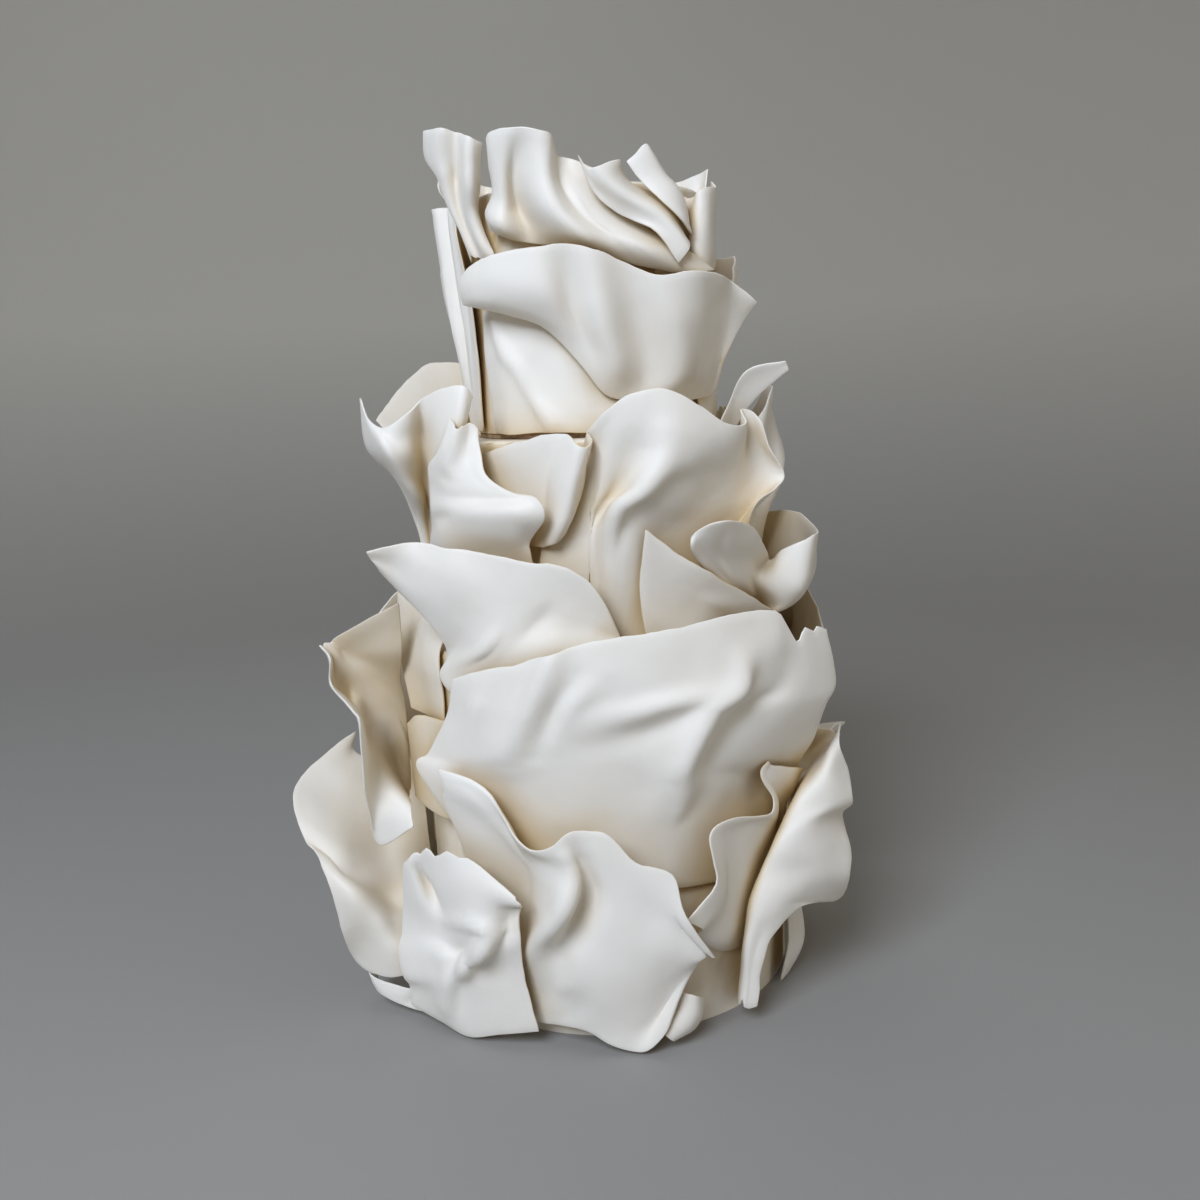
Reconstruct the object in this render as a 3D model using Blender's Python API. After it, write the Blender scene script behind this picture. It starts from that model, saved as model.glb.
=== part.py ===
"""Wedding cake of three round tiers, wrapped in thin wavy sheets of ivory icing.

Every icing sheet is one thin solid. Its middle surface is spanned between a few
guide lines (rails) and carries folds, then it is laid over the sheets already on
the cake with a small gap, from the innermost to the outermost.
Sizes are in millimetres until the meshes are made. Azimuth 0 is the front of the
cake (-Y), positive towards its right side (+X). Heights start under the cake.
"""
import math

import bpy
import numpy as np
from mathutils import Vector
from mathutils.bvhtree import BVHTree

# Sizes of the cake
MM = 0.001
TOP_RADIUS = 77.5
MIDDLE_RADIUS = 102.0
BOTTOM_RADIUS = 126.0
BOTTOM_TOP = 245.0
MIDDLE_TOP = 379.0
TOP_TOP = 531.0
CARD_THICKNESS = 3.0
CARD_RADIUS = 77.0
TIER_GAP = 0.4
TIER_EDGE = 4.0
TIER_SIDES = 48
SHEET_THICKNESS = 2.4
SHEET_GAP = 0.45
FLOOR_GAP = 0.3
ICING = (0.86, 0.80, 0.69)
ICING_ROUGHNESS = 0.55
CARD = (0.62, 0.52, 0.38)
CARD_ROUGHNESS = 0.8

# Distance between the middle surfaces of two sheets, and of a sheet and a tier
LAYER_PITCH = SHEET_THICKNESS + SHEET_GAP + 0.55
WALL_PITCH = SHEET_THICKNESS / 2 + SHEET_GAP + 0.35
SETTLE_PASSES = 3
SAMPLE_STEP = 3.2
PUSH_REACH = 16.0


def spline(points, where):
    """A smooth line through evenly numbered points, at fractions of its length."""
    points = np.asarray(points, float)
    spans = len(points) - 1
    ends = np.concatenate([[2 * points[0] - points[1]], points,
                           [2 * points[-1] - points[-2]]])
    place = np.clip(where, 0.0, 1.0) * spans
    first = np.minimum(place.astype(int), spans - 1)
    t = (place - first).reshape((-1,) + (1,) * (points.ndim - 1))
    a, b, c, d = ends[first], ends[first + 1], ends[first + 2], ends[first + 3]
    return 0.5 * (2 * b + (c - a) * t + (2 * a - 5 * b + 4 * c - d) * t ** 2
                  + (3 * b - a - 3 * c + d) * t ** 3)


def rail(points):
    """Azimuth, radius and height of each point to x, y and z."""
    table = np.asarray(points, float)
    angle = np.radians(table[:, 0])
    return np.stack([table[:, 1] * np.sin(angle), -table[:, 1] * np.cos(angle),
                     table[:, 2]], 1)


def grid_normals(grid):
    """Unit normals of a grid of points."""
    along = np.gradient(grid, axis=1)
    across = np.gradient(grid, axis=0)
    normal = np.cross(along, across)
    length = np.linalg.norm(normal, axis=2, keepdims=True)
    return normal / np.maximum(length, 1e-9)


def fold_height(u, v, size, path, width, height):
    """Height of a fold that runs along a path of (u, v) points."""
    best = np.full(u.shape, 1e9)
    for (u0, v0), (u1, v1) in zip(path[:-1], path[1:]):
        du = (u1 - u0) * size[0]
        dv = (v1 - v0) * size[1]
        pu = (u - u0) * size[0]
        pv = (v - v0) * size[1]
        t = np.clip((pu * du + pv * dv) / (du * du + dv * dv), 0.0, 1.0)
        best = np.minimum(best, np.hypot(pu - t * du, pv - t * dv))
    return height * np.exp(-(best / width) ** 2)


def sheet_grid(sheet, cells_u, cells_v):
    """Middle surface of a sheet: rails from its root to its rim, plus folds."""
    u = np.linspace(0.0, 1.0, cells_u + 1)
    v = np.linspace(0.0, 1.0, cells_v + 1)
    lines = np.array([spline(rail(points), u) for points in sheet["rails"]])
    grid = spline(lines, v)
    uu, vv = np.meshgrid(u, v)
    size = (np.linalg.norm(np.diff(grid, axis=1), axis=2).sum(1).mean(),
            np.linalg.norm(np.diff(grid, axis=0), axis=2).sum(0).mean())
    rise = np.zeros(uu.shape)
    cell = max(size[0] / cells_u, size[1] / cells_v)
    for path, width, height in sheet.get("folds", ()):
        wide = max(width, cell)
        rise += fold_height(uu, vv, size, path, wide, height * width / wide)
    normal = grid_normals(grid)
    outward = np.sign((normal[..., :2] * grid[..., :2]).sum())
    return grid + outward * normal * rise[..., None]


def grid_triangles(rows, columns):
    """Triangles of a grid, each cell cut along the same diagonal."""
    faces = []
    for i in range(rows - 1):
        for j in range(columns - 1):
            a = i * columns + j
            faces.append((a, a + 1, a + columns + 1))
            faces.append((a, a + columns + 1, a + columns))
    return faces


def wall_radius(height):
    """Radius of the cake itself at a height."""
    inside = np.where(height < BOTTOM_TOP + 2, BOTTOM_RADIUS,
                      np.where(height < MIDDLE_TOP + 2, MIDDLE_RADIUS, TOP_RADIUS))
    return np.where(height > TOP_TOP + 2, 0.0, inside)


def sample_table(grid):
    """Weights that spread sample points evenly over the facets of a grid."""
    rows, columns = grid.shape[:2]
    wide = np.linalg.norm(np.diff(grid, axis=1), axis=2).max()
    high = np.linalg.norm(np.diff(grid, axis=0), axis=2).max()
    steps = max(2, int(math.ceil(max(wide, high) / SAMPLE_STEP)))
    corners, weights = [], []
    for tri in grid_triangles(rows, columns):
        for i in range(steps + 1):
            for j in range(steps + 1 - i):
                corners.append(tri)
                weights.append((i / steps, j / steps, 1 - (i + j) / steps))
    return np.array(corners), np.array(weights)


def layer_tree(laid):
    """Search tree over the facets of the sheets that are already on the cake."""
    verts, faces = [], []
    for other in laid:
        base = len(verts)
        verts.extend(map(tuple, other.reshape(-1, 3)))
        faces.extend(tuple(base + k for k in tri)
                     for tri in grid_triangles(*other.shape[:2]))
    return BVHTree.FromPolygons(verts, faces)


def shortfall(place, outward, radius, tree):
    """How far a point has to move outwards, or away from the nearest sheet."""
    spot = Vector(place)
    away = Vector((outward[0], outward[1], 0.0))
    far = Vector((0.0, 0.0, place[2])) + away * 320.0
    where = tree.ray_cast(far, -away, 320.0)[0]
    close = False
    if where is not None:
        lack = math.hypot(where.x, where.y) + LAYER_PITCH - radius
        close = lack > -14.0
        if lack > 0.0:
            return lack, None, True
    where, normal, index, dist = tree.find_nearest(spot, LAYER_PITCH * 4)
    if where is None:
        return 0.0, None, close
    if dist >= LAYER_PITCH or dist < 1e-6:
        return 0.0, None, True
    step = (spot - where) / dist
    lack = LAYER_PITCH - dist
    slope = step.dot(away)
    if slope > 0.5:
        return lack / slope, None, True
    return 0.0, step * lack, True


def settle(grid, laid, rounds=40):
    """Push a sheet outwards until it clears the cake and the sheets under it."""
    rows, columns = grid.shape[:2]
    points = grid.reshape(-1, 3).copy()
    corners, weights = sample_table(grid)
    tree = layer_tree(laid) if laid else None
    active = np.arange(len(corners))
    fade_u = math.exp(-np.linalg.norm(np.diff(grid, axis=1), axis=2).mean() / PUSH_REACH)
    fade_v = math.exp(-np.linalg.norm(np.diff(grid, axis=0), axis=2).mean() / PUSH_REACH)
    for turn in range(rounds):
        places = (points[corners[active]] * weights[active][..., None]).sum(1)
        radius = np.hypot(places[:, 0], places[:, 1])
        outward = places[:, :2] / np.maximum(radius, 1e-6)[:, None]
        push = np.maximum(0.0, wall_radius(places[:, 2]) + WALL_PITCH - radius)
        near = push > 0
        steps = {}
        if tree is not None:
            for k in range(len(active)):
                lack, step, close = shortfall(places[k], outward[k], radius[k], tree)
                push[k] = max(push[k], lack)
                near[k] |= close
                if step is not None:
                    steps[k] = np.array(step)
        if push.max() < 0.02 and not steps:
            break
        out = np.zeros(len(points))
        share = weights[active] > 0.12
        for c in range(3):
            picked = share[:, c]
            np.maximum.at(out, corners[active][picked, c],
                          (push * np.minimum(1.0, 0.5 + weights[active][:, c]))[picked])
        out = out.reshape(rows, columns)
        for _ in range(12):
            out[1:] = np.maximum(out[1:], out[:-1] * fade_v)
            out[:-1] = np.maximum(out[:-1], out[1:] * fade_v)
            out[:, 1:] = np.maximum(out[:, 1:], out[:, :-1] * fade_u)
            out[:, :-1] = np.maximum(out[:, :-1], out[:, 1:] * fade_u)
        span = np.hypot(points[:, 0], points[:, 1])
        points[:, :2] *= (1.0 + out.ravel() / np.maximum(span, 1e-6))[:, None]
        side = np.zeros_like(points)
        most = np.zeros(len(points))
        for k, step in steps.items():
            size = np.linalg.norm(step)
            for corner, weight in zip(corners[active[k]], weights[active[k]]):
                if weight > 0.12 and size * weight > most[corner]:
                    most[corner] = size * weight
                    side[corner] = step * min(1.0, 0.5 + weight)
        points += side
        if turn == 0:
            grown = np.zeros(len(points), bool)
            grown[corners[near].ravel()] = True
            active = np.arange(len(corners))[grown[corners].any(1)]
            if len(active) == 0:
                break
    return points.reshape(rows, columns, 3)


def opened(grid, thickness, least=0.4, rounds=60):
    """Ease a sheet where it is bent so tightly that its faces would cross."""
    grid = grid.copy()
    for _ in range(rounds):
        normal = grid_normals(grid)
        tight = np.zeros(grid.shape[:2], bool)
        for side in (-0.5, 0.5):
            face = grid + normal * (side * thickness)
            for axis in (0, 1):
                run = np.diff(grid, axis=axis)
                bent = (np.diff(face, axis=axis) * run).sum(2) < least * (run ** 2).sum(2)
                if axis:
                    tight[:, 1:] |= bent
                    tight[:, :-1] |= bent
                else:
                    tight[1:] |= bent
                    tight[:-1] |= bent
        ahead = np.diff(grid, axis=1)
        above = np.diff(grid, axis=0)
        tight[:, 1:-1] |= (ahead[:, 1:] * ahead[:, :-1]).sum(2) < 0
        tight[1:-1] |= (above[1:] * above[:-1]).sum(2) < 0
        twisted = (ahead[1:] * ahead[:-1]).sum(2) < 0
        tight[1:, 1:] |= twisted
        tight[:-1, :-1] |= twisted
        twisted = (above[:, 1:] * above[:, :-1]).sum(2) < 0
        tight[1:, 1:] |= twisted
        tight[:-1, :-1] |= twisted
        if not tight.any():
            break
        wide = tight.copy()
        wide[1:] |= tight[:-1]
        wide[:-1] |= tight[1:]
        wide[:, 1:] |= tight[:, :-1]
        wide[:, :-1] |= tight[:, 1:]
        total = np.zeros_like(grid)
        number = np.zeros(grid.shape[:2] + (1,))
        total[1:] += grid[:-1]
        number[1:] += 1
        total[:-1] += grid[1:]
        number[:-1] += 1
        total[:, 1:] += grid[:, :-1]
        number[:, 1:] += 1
        total[:, :-1] += grid[:, 1:]
        number[:, :-1] += 1
        grid[wide] += 0.4 * (total / number - grid)[wide]
    return grid


def turned(sheet, name, cells, spin, flip=False, lift=0.0, swell=1.0):
    """A sheet like another one, turned round the cake and a little different."""
    rails = []
    for points in sheet["rails"]:
        line = []
        for azimuth, radius, height in points:
            side = -azimuth if flip else azimuth
            wall = float(wall_radius(np.array(height + lift))) + 3.0
            line.append((side + spin, wall + (radius - wall) * swell, height + lift))
        rails.append(line)
    made = dict(sheet)
    made["name"] = name
    made["cells"] = cells
    made["rails"] = rails
    return made


# Sheets of the front half, each from root to rim, seen from left to right
LEFT_PLEATS = {
    "name": "left_pleats", "cells": (10, 3), "rails": [
        [(-120, 80, 384), (-104, 81, 384), (-92, 80, 384), (-84, 82, 384), (-74, 80, 384),
         (-62, 81, 384)],
        [(-120, 82, 455), (-104, 87, 455), (-92, 82, 455), (-84, 90, 456), (-74, 82, 455),
         (-60, 85, 456)],
        [(-120, 84, 520), (-104, 92, 524), (-92, 86, 526), (-84, 96, 528), (-74, 87, 524),
         (-62, 92, 508)]],
    "folds": [
        ([(0.60, 1), (0.62, 0.6), (0.68, 0.2)], 3.5, 4),
        ([(0.80, 1), (0.80, 0.6), (0.84, 0.1)], 3.5, 4),
        ([(0.70, 1), (0.71, 0.6), (0.76, 0.2)], 3.5, -3)]}
FRONT_PANEL = {
    "name": "front_panel", "cells": (6, 3), "rails": [
        [(-49.5, 81, 383), (-39, 82, 382), (-27, 80, 383), (-16, 83, 383), (-1.5, 81, 382),
         (14, 81, 382)],
        [(-55, 81, 423), (-39.5, 84, 422), (-29.5, 82, 422), (-20.5, 80, 420),
         (-7, 81, 417), (14, 80, 425)],
        [(-55.5, 81, 459), (-43, 81, 458), (-31, 81, 457), (-19, 81, 454), (-6, 80, 450),
         (14, 80, 466)]],
    "folds": [
        ([(0.15, 1), (0.17, 0.8), (0.22, 0.64), (0.33, 0.5), (0.44, 0.27), (0.59, 0.05)], 5, 3)]}
MID_DRAPE = {
    "name": "mid_drape", "cells": (15, 5), "rails": [
        [(-50, 100, 463), (-42.5, 98, 460), (-31, 95, 455), (-17, 90, 446), (-4, 86, 424),
         (6, 84, 405), (17, 84, 401), (29.5, 84, 400), (44, 84, 399), (56.5, 84, 400),
         (61.5, 86, 401), (65, 89, 404)],
        [(-49.5, 102, 468), (-39.5, 103, 465), (-28.5, 103, 462), (-14, 98, 452),
         (-2, 89, 436), (9, 95, 422), (23, 86, 417), (35.5, 95, 415), (46.5, 92, 417),
         (54.5, 92, 418), (61, 93, 419), (61, 98, 423)],
        [(-49, 103, 473), (-39.5, 105, 474), (-28, 107, 473), (-13.5, 106, 467),
         (-5.5, 94, 458), (5, 102, 449), (18.5, 91, 447), (30.5, 102, 444), (40, 100, 446),
         (49.5, 99, 447), (57, 102, 449), (61.5, 109, 444)],
        [(-48.5, 103, 479), (-40.5, 104, 485), (-29.5, 106, 489), (-16.5, 108, 490),
         (-7, 106, 491), (2, 106, 488), (12.5, 99, 481), (24, 100, 473), (34, 102, 477),
         (45, 103, 476), (52, 107, 471), (58.5, 122, 457)]]}
CROWN_LEFT = {
    "name": "crown_left", "cells": (8, 5), "rails": [
        [(-59.5, 84, 490), (-55.5, 84, 490), (-53.5, 82, 491), (-46.5, 84, 491),
         (-42.5, 83, 491)],
        [(-61, 90, 506), (-57.5, 89, 506), (-59, 84, 506), (-48.5, 89, 505), (-48, 84, 507)],
        [(-63, 97, 524), (-59, 95, 523), (-61.5, 88, 522), (-48, 94, 519), (-49.5, 86, 520)],
        [(-64, 101, 542), (-58.5, 99, 539), (-59.5, 91, 538), (-46, 97, 533),
         (-45.5, 88, 534)],
        [(-68.5, 105, 555), (-58.5, 102, 552), (-55.5, 93, 551), (-44.5, 98, 547),
         (-43.5, 89, 547)],
        [(-65, 107, 569), (-55, 104, 567), (-52.5, 95, 565), (-43, 99, 560),
         (-41.5, 90, 557)]]}
CROWN_CENTRE = {
    "name": "crown_centre", "cells": (14, 5), "rails": [
        [(-42.5, 86, 507), (-36, 88, 503), (-29.5, 86, 499), (-24, 80, 497),
         (-12, 84, 494), (1.5, 88, 489), (10.5, 86, 485), (19, 86, 481), (26.5, 86, 478),
         (35.5, 86, 476), (45, 86, 478)],
        [(-43, 88, 517), (-37, 93, 511), (-30.5, 94, 507), (-25, 81, 507), (-13, 92, 503),
         (-1.5, 99, 497), (4.5, 95, 496), (10, 92, 494), (16, 92, 491), (23, 92, 489),
         (33.5, 88, 490)],
        [(-38.5, 88, 527), (-34.5, 92, 524), (-30.5, 92, 520), (-28.5, 82, 519),
         (-16, 97, 516), (-9, 101, 513), (-5, 94, 511), (-1.5, 90, 509), (3, 89, 506),
         (8, 88, 502), (20, 84, 506)],
        [(-37, 92, 543), (-32.5, 96, 541), (-28.5, 96, 538), (-28, 88, 535),
         (-18, 98, 533), (-12.5, 100, 532), (-10.5, 94, 530), (-9, 87, 528),
         (-4.5, 86, 527), (0.5, 86, 519), (14, 84, 520)],
        [(-36, 95, 557), (-32.5, 99, 559), (-25, 103, 559), (-19, 104, 558),
         (-13, 103, 556), (-10.5, 99, 555), (-10, 93, 551), (-10, 86, 545),
         (-6.5, 84, 543), (-2, 84, 541), (8, 84, 534)]]}
CROWN_RIGHT = {
    "name": "crown_right", "cells": (6, 5), "rails": [
        [(32.5, 84, 482), (33.5, 86, 486), (35.5, 88, 490), (37, 90, 494), (40, 89, 497),
         (44.5, 87, 502), (51, 84, 506)],
        [(23, 86, 499), (24.5, 88, 501), (25, 93, 504), (26.5, 96, 507), (29.5, 94, 511),
         (34, 90, 514), (38, 86, 516)],
        [(11.5, 88, 511), (12.5, 90, 513), (13.5, 95, 515), (14, 99, 517), (16, 97, 520),
         (18.5, 92, 522), (20.5, 88, 525)],
        [(3, 92, 524), (5, 92, 524), (6.5, 96, 525), (8, 100, 526), (10.5, 98, 528),
         (13, 94, 530), (15.5, 90, 532)],
        [(-1, 98, 542), (0.5, 97, 537), (2.5, 97, 534), (4.5, 100, 534), (7.5, 99, 536),
         (10.5, 97, 538), (13.5, 94, 539)]]}
CROWN_POINT = {
    "name": "crown_point", "cells": (4, 4), "rails": [
        [(41, 84, 493), (42.5, 86, 493), (46.5, 86, 495), (49, 85, 497), (50.5, 84, 499)],
        [(30, 86, 506), (32.5, 90, 508), (37, 90, 512), (40.5, 88, 515), (46.5, 84, 512)],
        [(22, 90, 522), (24.5, 93, 525), (28.5, 94, 528), (31.5, 92, 529), (35.5, 88, 527)],
        [(14.5, 93, 537), (18.5, 95, 542), (22, 97, 547), (24, 96, 546), (26.5, 93, 542)]]}
ROLL_RIGHT = {
    "name": "roll_right", "cells": (13, 4), "rails": [
        [(30, 84, 474), (39.5, 86, 482), (43.5, 88, 480), (43.5, 92, 478), (40.5, 99, 476),
         (41.5, 104, 475), (45.5, 104, 476), (54.5, 98, 479), (62.5, 91, 484)],
        [(30, 84, 497), (39, 86, 497), (42.5, 88, 494), (44.5, 91, 492), (41, 99, 490),
         (41.5, 104, 490), (46.5, 104, 491), (53.5, 99, 494), (61.5, 92, 499)],
        [(30, 84, 520), (37, 87, 513), (42.5, 88, 509), (44, 91, 508), (41.5, 98, 506),
         (42, 104, 506), (46, 105, 507), (53, 100, 511), (60.5, 93, 516)],
        [(31, 84, 536), (35, 88, 526), (41.5, 88, 523), (44.5, 91, 520), (44.5, 97, 521),
         (41.5, 103, 523), (45, 106, 524), (52, 103, 526), (57.5, 95, 531)]]}
LEFT_BACK_LEAF = {
    "name": "left_back_leaf", "cells": (6, 4), "rails": [
        [(-112, 106, 318), (-118, 106, 316), (-124, 106, 316), (-132, 106, 318),
         (-142, 106, 322)],
        [(-108, 132, 352), (-114, 128, 358), (-122, 124, 366), (-132, 118, 368),
         (-144, 112, 362)],
        [(-108, 166, 392), (-112, 164, 401), (-119, 158, 418), (-127, 150, 431),
         (-138, 130, 428)]]}
LEFT_CUP = {
    "name": "left_cup", "cells": (11, 6), "rails": [
        [(-81.5, 120, 297), (-81.5, 118, 296), (-81.5, 116, 296), (-82, 114, 295),
         (-82, 112, 294), (-72, 112, 297), (-64.5, 113, 298), (-60, 113, 298)],
        [(-81, 125, 324), (-81, 123, 324), (-78.5, 120, 324), (-81.5, 117, 323),
         (-81.5, 115, 323), (-70, 115, 326), (-60.5, 118, 328), (-56.5, 118, 328)],
        [(-80.5, 130, 341), (-69, 129, 343), (-65.5, 127, 343), (-69, 121, 341),
         (-72.5, 117, 340), (-63.5, 118, 341), (-56, 121, 343), (-54, 120, 343)],
        [(-80, 138, 357), (-64.5, 139, 358), (-62, 135, 357), (-65.5, 126, 355),
         (-70, 119, 354), (-60.5, 120, 355), (-53, 123, 356), (-50.5, 121, 356)],
        [(-79, 151, 371), (-60.5, 149, 373), (-59, 144, 372), (-60, 133, 371),
         (-65.5, 121, 369), (-54.5, 122, 370), (-45.5, 125, 372), (-44, 121, 373)],
        [(-79, 155, 384), (-63, 152, 384), (-60, 146, 382), (-59.5, 135, 384),
         (-61.5, 123, 387), (-50.5, 123, 388), (-42, 124, 387), (-41.5, 119, 386)],
        [(-79, 155, 408), (-70.5, 153, 395), (-61.5, 148, 389), (-57.5, 136, 398),
         (-57, 127, 406), (-49, 122, 412), (-41, 119, 413), (-40, 113, 407)]]}
CENTRE_TUBE = {
    "name": "centre_tube", "cells": (12, 5), "rails": [
        [(-31, 106, 320), (-27, 106, 318), (-23, 106, 316), (-20, 106, 315),
         (-17.5, 108, 315), (-16, 111, 316), (-14.5, 114, 317), (-13, 115, 318),
         (-12, 114, 319), (-11.5, 110, 320), (-10, 107, 323)],
        [(-34.5, 105, 339), (-28.5, 105, 337), (-23, 106, 336), (-18.5, 107, 335),
         (-16, 109, 334), (-14, 114, 334), (-11.5, 119, 334), (-9.5, 121, 334),
         (-8, 120, 334), (-7, 115, 335), (-6.5, 110, 337)],
        [(-38.5, 105, 353), (-30.5, 105, 355), (-24, 106, 356), (-18.5, 108, 357),
         (-15, 109, 357), (-12.5, 114, 357), (-9.5, 120, 357), (-7, 124, 356),
         (-5.5, 124, 355), (-4.5, 119, 354), (-3.5, 113, 354)],
        [(-40.5, 106, 371), (-32.5, 107, 375), (-24, 109, 378), (-16.5, 112, 382),
         (-11, 114, 383), (-8, 117, 383), (-6, 122, 381), (-4, 126, 376), (-2, 124, 375),
         (-0.5, 118, 379), (-1.5, 113, 384)]]}
LEFT_LOBE = {
    "name": "left_front_lobe", "cells": (8, 9), "rails": [
        [(-80.5, 112, 300), (-56, 112, 303), (-42, 112, 302), (-29.5, 112, 302),
         (-20.5, 112, 300)],
        [(-65.5, 116, 315), (-50, 118, 316), (-37.5, 119, 316), (-27.5, 119, 315),
         (-20.5, 117, 312)],
        [(-60.5, 119, 326), (-44.5, 124, 328), (-33.5, 127, 328), (-24, 127, 326),
         (-20, 120, 320)],
        [(-57.5, 121, 335), (-40.5, 128, 338), (-29.5, 132, 339), (-20.5, 134, 339),
         (-14, 128, 335)],
        [(-57, 120, 346), (-43, 123, 346), (-32.5, 125, 345), (-23.5, 128, 346),
         (-16, 129, 347)],
        [(-55.5, 119, 357), (-44, 122, 354), (-35.5, 124, 352), (-28.5, 126, 350),
         (-23, 128, 350)],
        [(-53.5, 118, 366), (-45.5, 120, 364), (-40, 121, 362), (-36, 122, 360),
         (-32, 123, 359)],
        [(-47.5, 117, 375), (-44, 118, 375), (-41, 118, 374), (-38.5, 118, 373),
         (-35.5, 118, 373)],
        [(-42.5, 115, 394), (-41, 115, 393), (-40, 115, 391), (-38.5, 115, 390),
         (-37.5, 115, 387)]]}
RIGHT_BIG = {
    "name": "right_big", "cells": (14, 7), "rails": [
        [(-20, 106, 300), (-4.5, 106, 294), (-3, 106, 287), (-1.5, 106, 281),
         (0.5, 106, 273), (4.5, 106, 260), (13, 106, 254), (22, 106, 252), (34, 106, 256),
         (45, 108, 262), (54, 114, 278)],
        [(-18, 106, 318), (-3.5, 108, 326), (-2, 110, 330), (1, 112, 332), (5.5, 126, 334),
         (10, 122, 325), (18, 113, 314), (28.5, 113, 309), (37.5, 115, 310),
         (45, 122, 315), (43.5, 138, 331)],
        [(-13, 107, 334), (-1, 109, 344), (1.5, 113, 347), (6, 115, 350), (12, 132, 351),
         (17, 132, 345), (28, 120, 335), (37.5, 120, 331), (45.5, 124, 332),
         (50, 132, 336), (49, 146, 344)],
        [(-8, 108, 352), (0, 112, 362), (4, 119, 366), (10, 123, 369), (16.5, 136, 369),
         (24, 137, 363), (35, 127, 353), (43, 126, 350), (49, 128, 352), (51, 136, 356),
         (52, 148, 352)],
        [(-4, 110, 370), (1.5, 118, 379), (6, 126, 385), (12, 132, 388), (18.5, 138, 388),
         (26.5, 139, 379), (36.5, 136, 372), (43.5, 131, 369), (46.5, 128, 374),
         (48.5, 134, 375), (48.5, 143, 369)],
        [(-1.5, 116, 384), (2, 124, 392), (7.5, 130, 402), (13, 135, 406),
         (19.5, 137, 406), (27, 138, 396), (35.5, 139, 384), (42, 137, 384),
         (43.5, 131, 392), (46, 134, 391), (47, 140, 384)]],
    "folds": [
        ([(0.41, 0.75), (0.41, 0.53), (0.43, 0.3), (0.37, 0.17), (0.27, 0.12)], 8, 6),
        ([(0.36, 0.62), (0.33, 0.47), (0.3, 0.23), (0.14, 0.17)], 7, -4),
        ([(0.56, 0.62), (0.5, 0.47), (0.48, 0.3), (0.45, 0.18), (0.32, 0.08)], 7, -5)]}
RIGHT_LEAF = {
    "name": "right_leaf", "cells": (3, 6), "rails": [
        [(46, 106, 376), (50, 106, 374), (56, 106, 372)],
        [(46.5, 116, 395), (49, 115, 390), (52, 114, 381)],
        [(45.5, 132, 415), (47.5, 130, 408), (50, 130, 398)],
        [(51.5, 150, 420), (52, 150, 418), (52.5, 150, 415)]]}
RIGHT_SCROLL = {
    "name": "right_scroll", "cells": (14, 5), "rails": [
        [(37, 112, 291), (41, 109, 280), (49, 107, 267), (64.5, 107, 255),
         (81.5, 115, 245), (62, 108, 252), (70, 108, 252), (82, 107, 256), (96, 107, 262)],
        [(29.5, 122, 303), (34, 119, 296), (42, 116, 287), (52, 115, 277), (62, 118, 268),
         (60, 136, 264), (66, 140, 266), (82, 132, 270), (99, 112, 274)],
        [(25.5, 130, 313), (28, 128, 312), (33, 128, 310), (41.5, 122, 303),
         (54.5, 118, 284), (57, 138, 280), (61, 152, 281), (80, 146, 288), (101, 116, 292)],
        [(26, 130, 320), (26.5, 134, 323), (29, 140, 327), (33.5, 141, 328),
         (46.5, 130, 319), (61, 125, 294), (58, 138, 302), (61, 157, 311), (76, 150, 311),
         (90, 139, 318), (103, 127, 315)]]}
RIGHT_TRIANGLE = {
    "name": "right_triangle", "cells": (5, 4), "rails": [
        [(14.5, 107, 258), (21.5, 107, 254), (36, 107, 255), (55.5, 107, 254),
         (58, 107, 250)],
        [(12.5, 113, 287), (19, 112, 279), (29.5, 114, 277), (40, 117, 269), (59, 120, 254)],
        [(13.5, 124, 325), (21.5, 122, 311), (33.5, 124, 294), (48.5, 127, 275),
         (59, 130, 262)]]}
LEFT_BIG_LEAF = {
    "name": "left_big_leaf", "cells": (12, 6), "rails": [
        [(-54.5, 166, 303), (-54, 153, 287), (-51, 145, 275), (-48, 135, 258),
         (-49, 127, 245), (-52.5, 122, 231), (-45.5, 112, 220), (-29.5, 108, 223),
         (-14.5, 108, 231), (-1, 108, 240), (6.5, 110, 250)],
        [(-53.5, 170, 308), (-52.5, 156, 295), (-47.5, 147, 286), (-42, 139, 277),
         (-37.5, 133, 267), (-32.5, 128, 256), (-26.5, 121, 252), (-17.5, 116, 255),
         (-8.5, 113, 258), (0, 112, 257), (5.5, 113, 255)],
        [(-53.5, 173, 312), (-52, 159, 307), (-45.5, 149, 304), (-38, 142, 298),
         (-32, 136, 292), (-25.5, 131, 286), (-18, 127, 282), (-11.5, 123, 282),
         (-5.5, 120, 278), (1, 118, 269), (5.5, 116, 258)],
        [(-53, 176, 316), (-51, 164, 319), (-47.5, 150, 320), (-40, 143, 317),
         (-33.5, 137, 315), (-26, 134, 312), (-18.5, 132, 309), (-11, 130, 307),
         (-5, 128, 300), (0.5, 124, 285), (5, 118, 262)]],
    "folds": [
        ([(0.46, 0.34), (0.54, 0.31)], 9, 4),
        ([(0.63, 0.72), (0.67, 0.34)], 10, -3)]}
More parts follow.
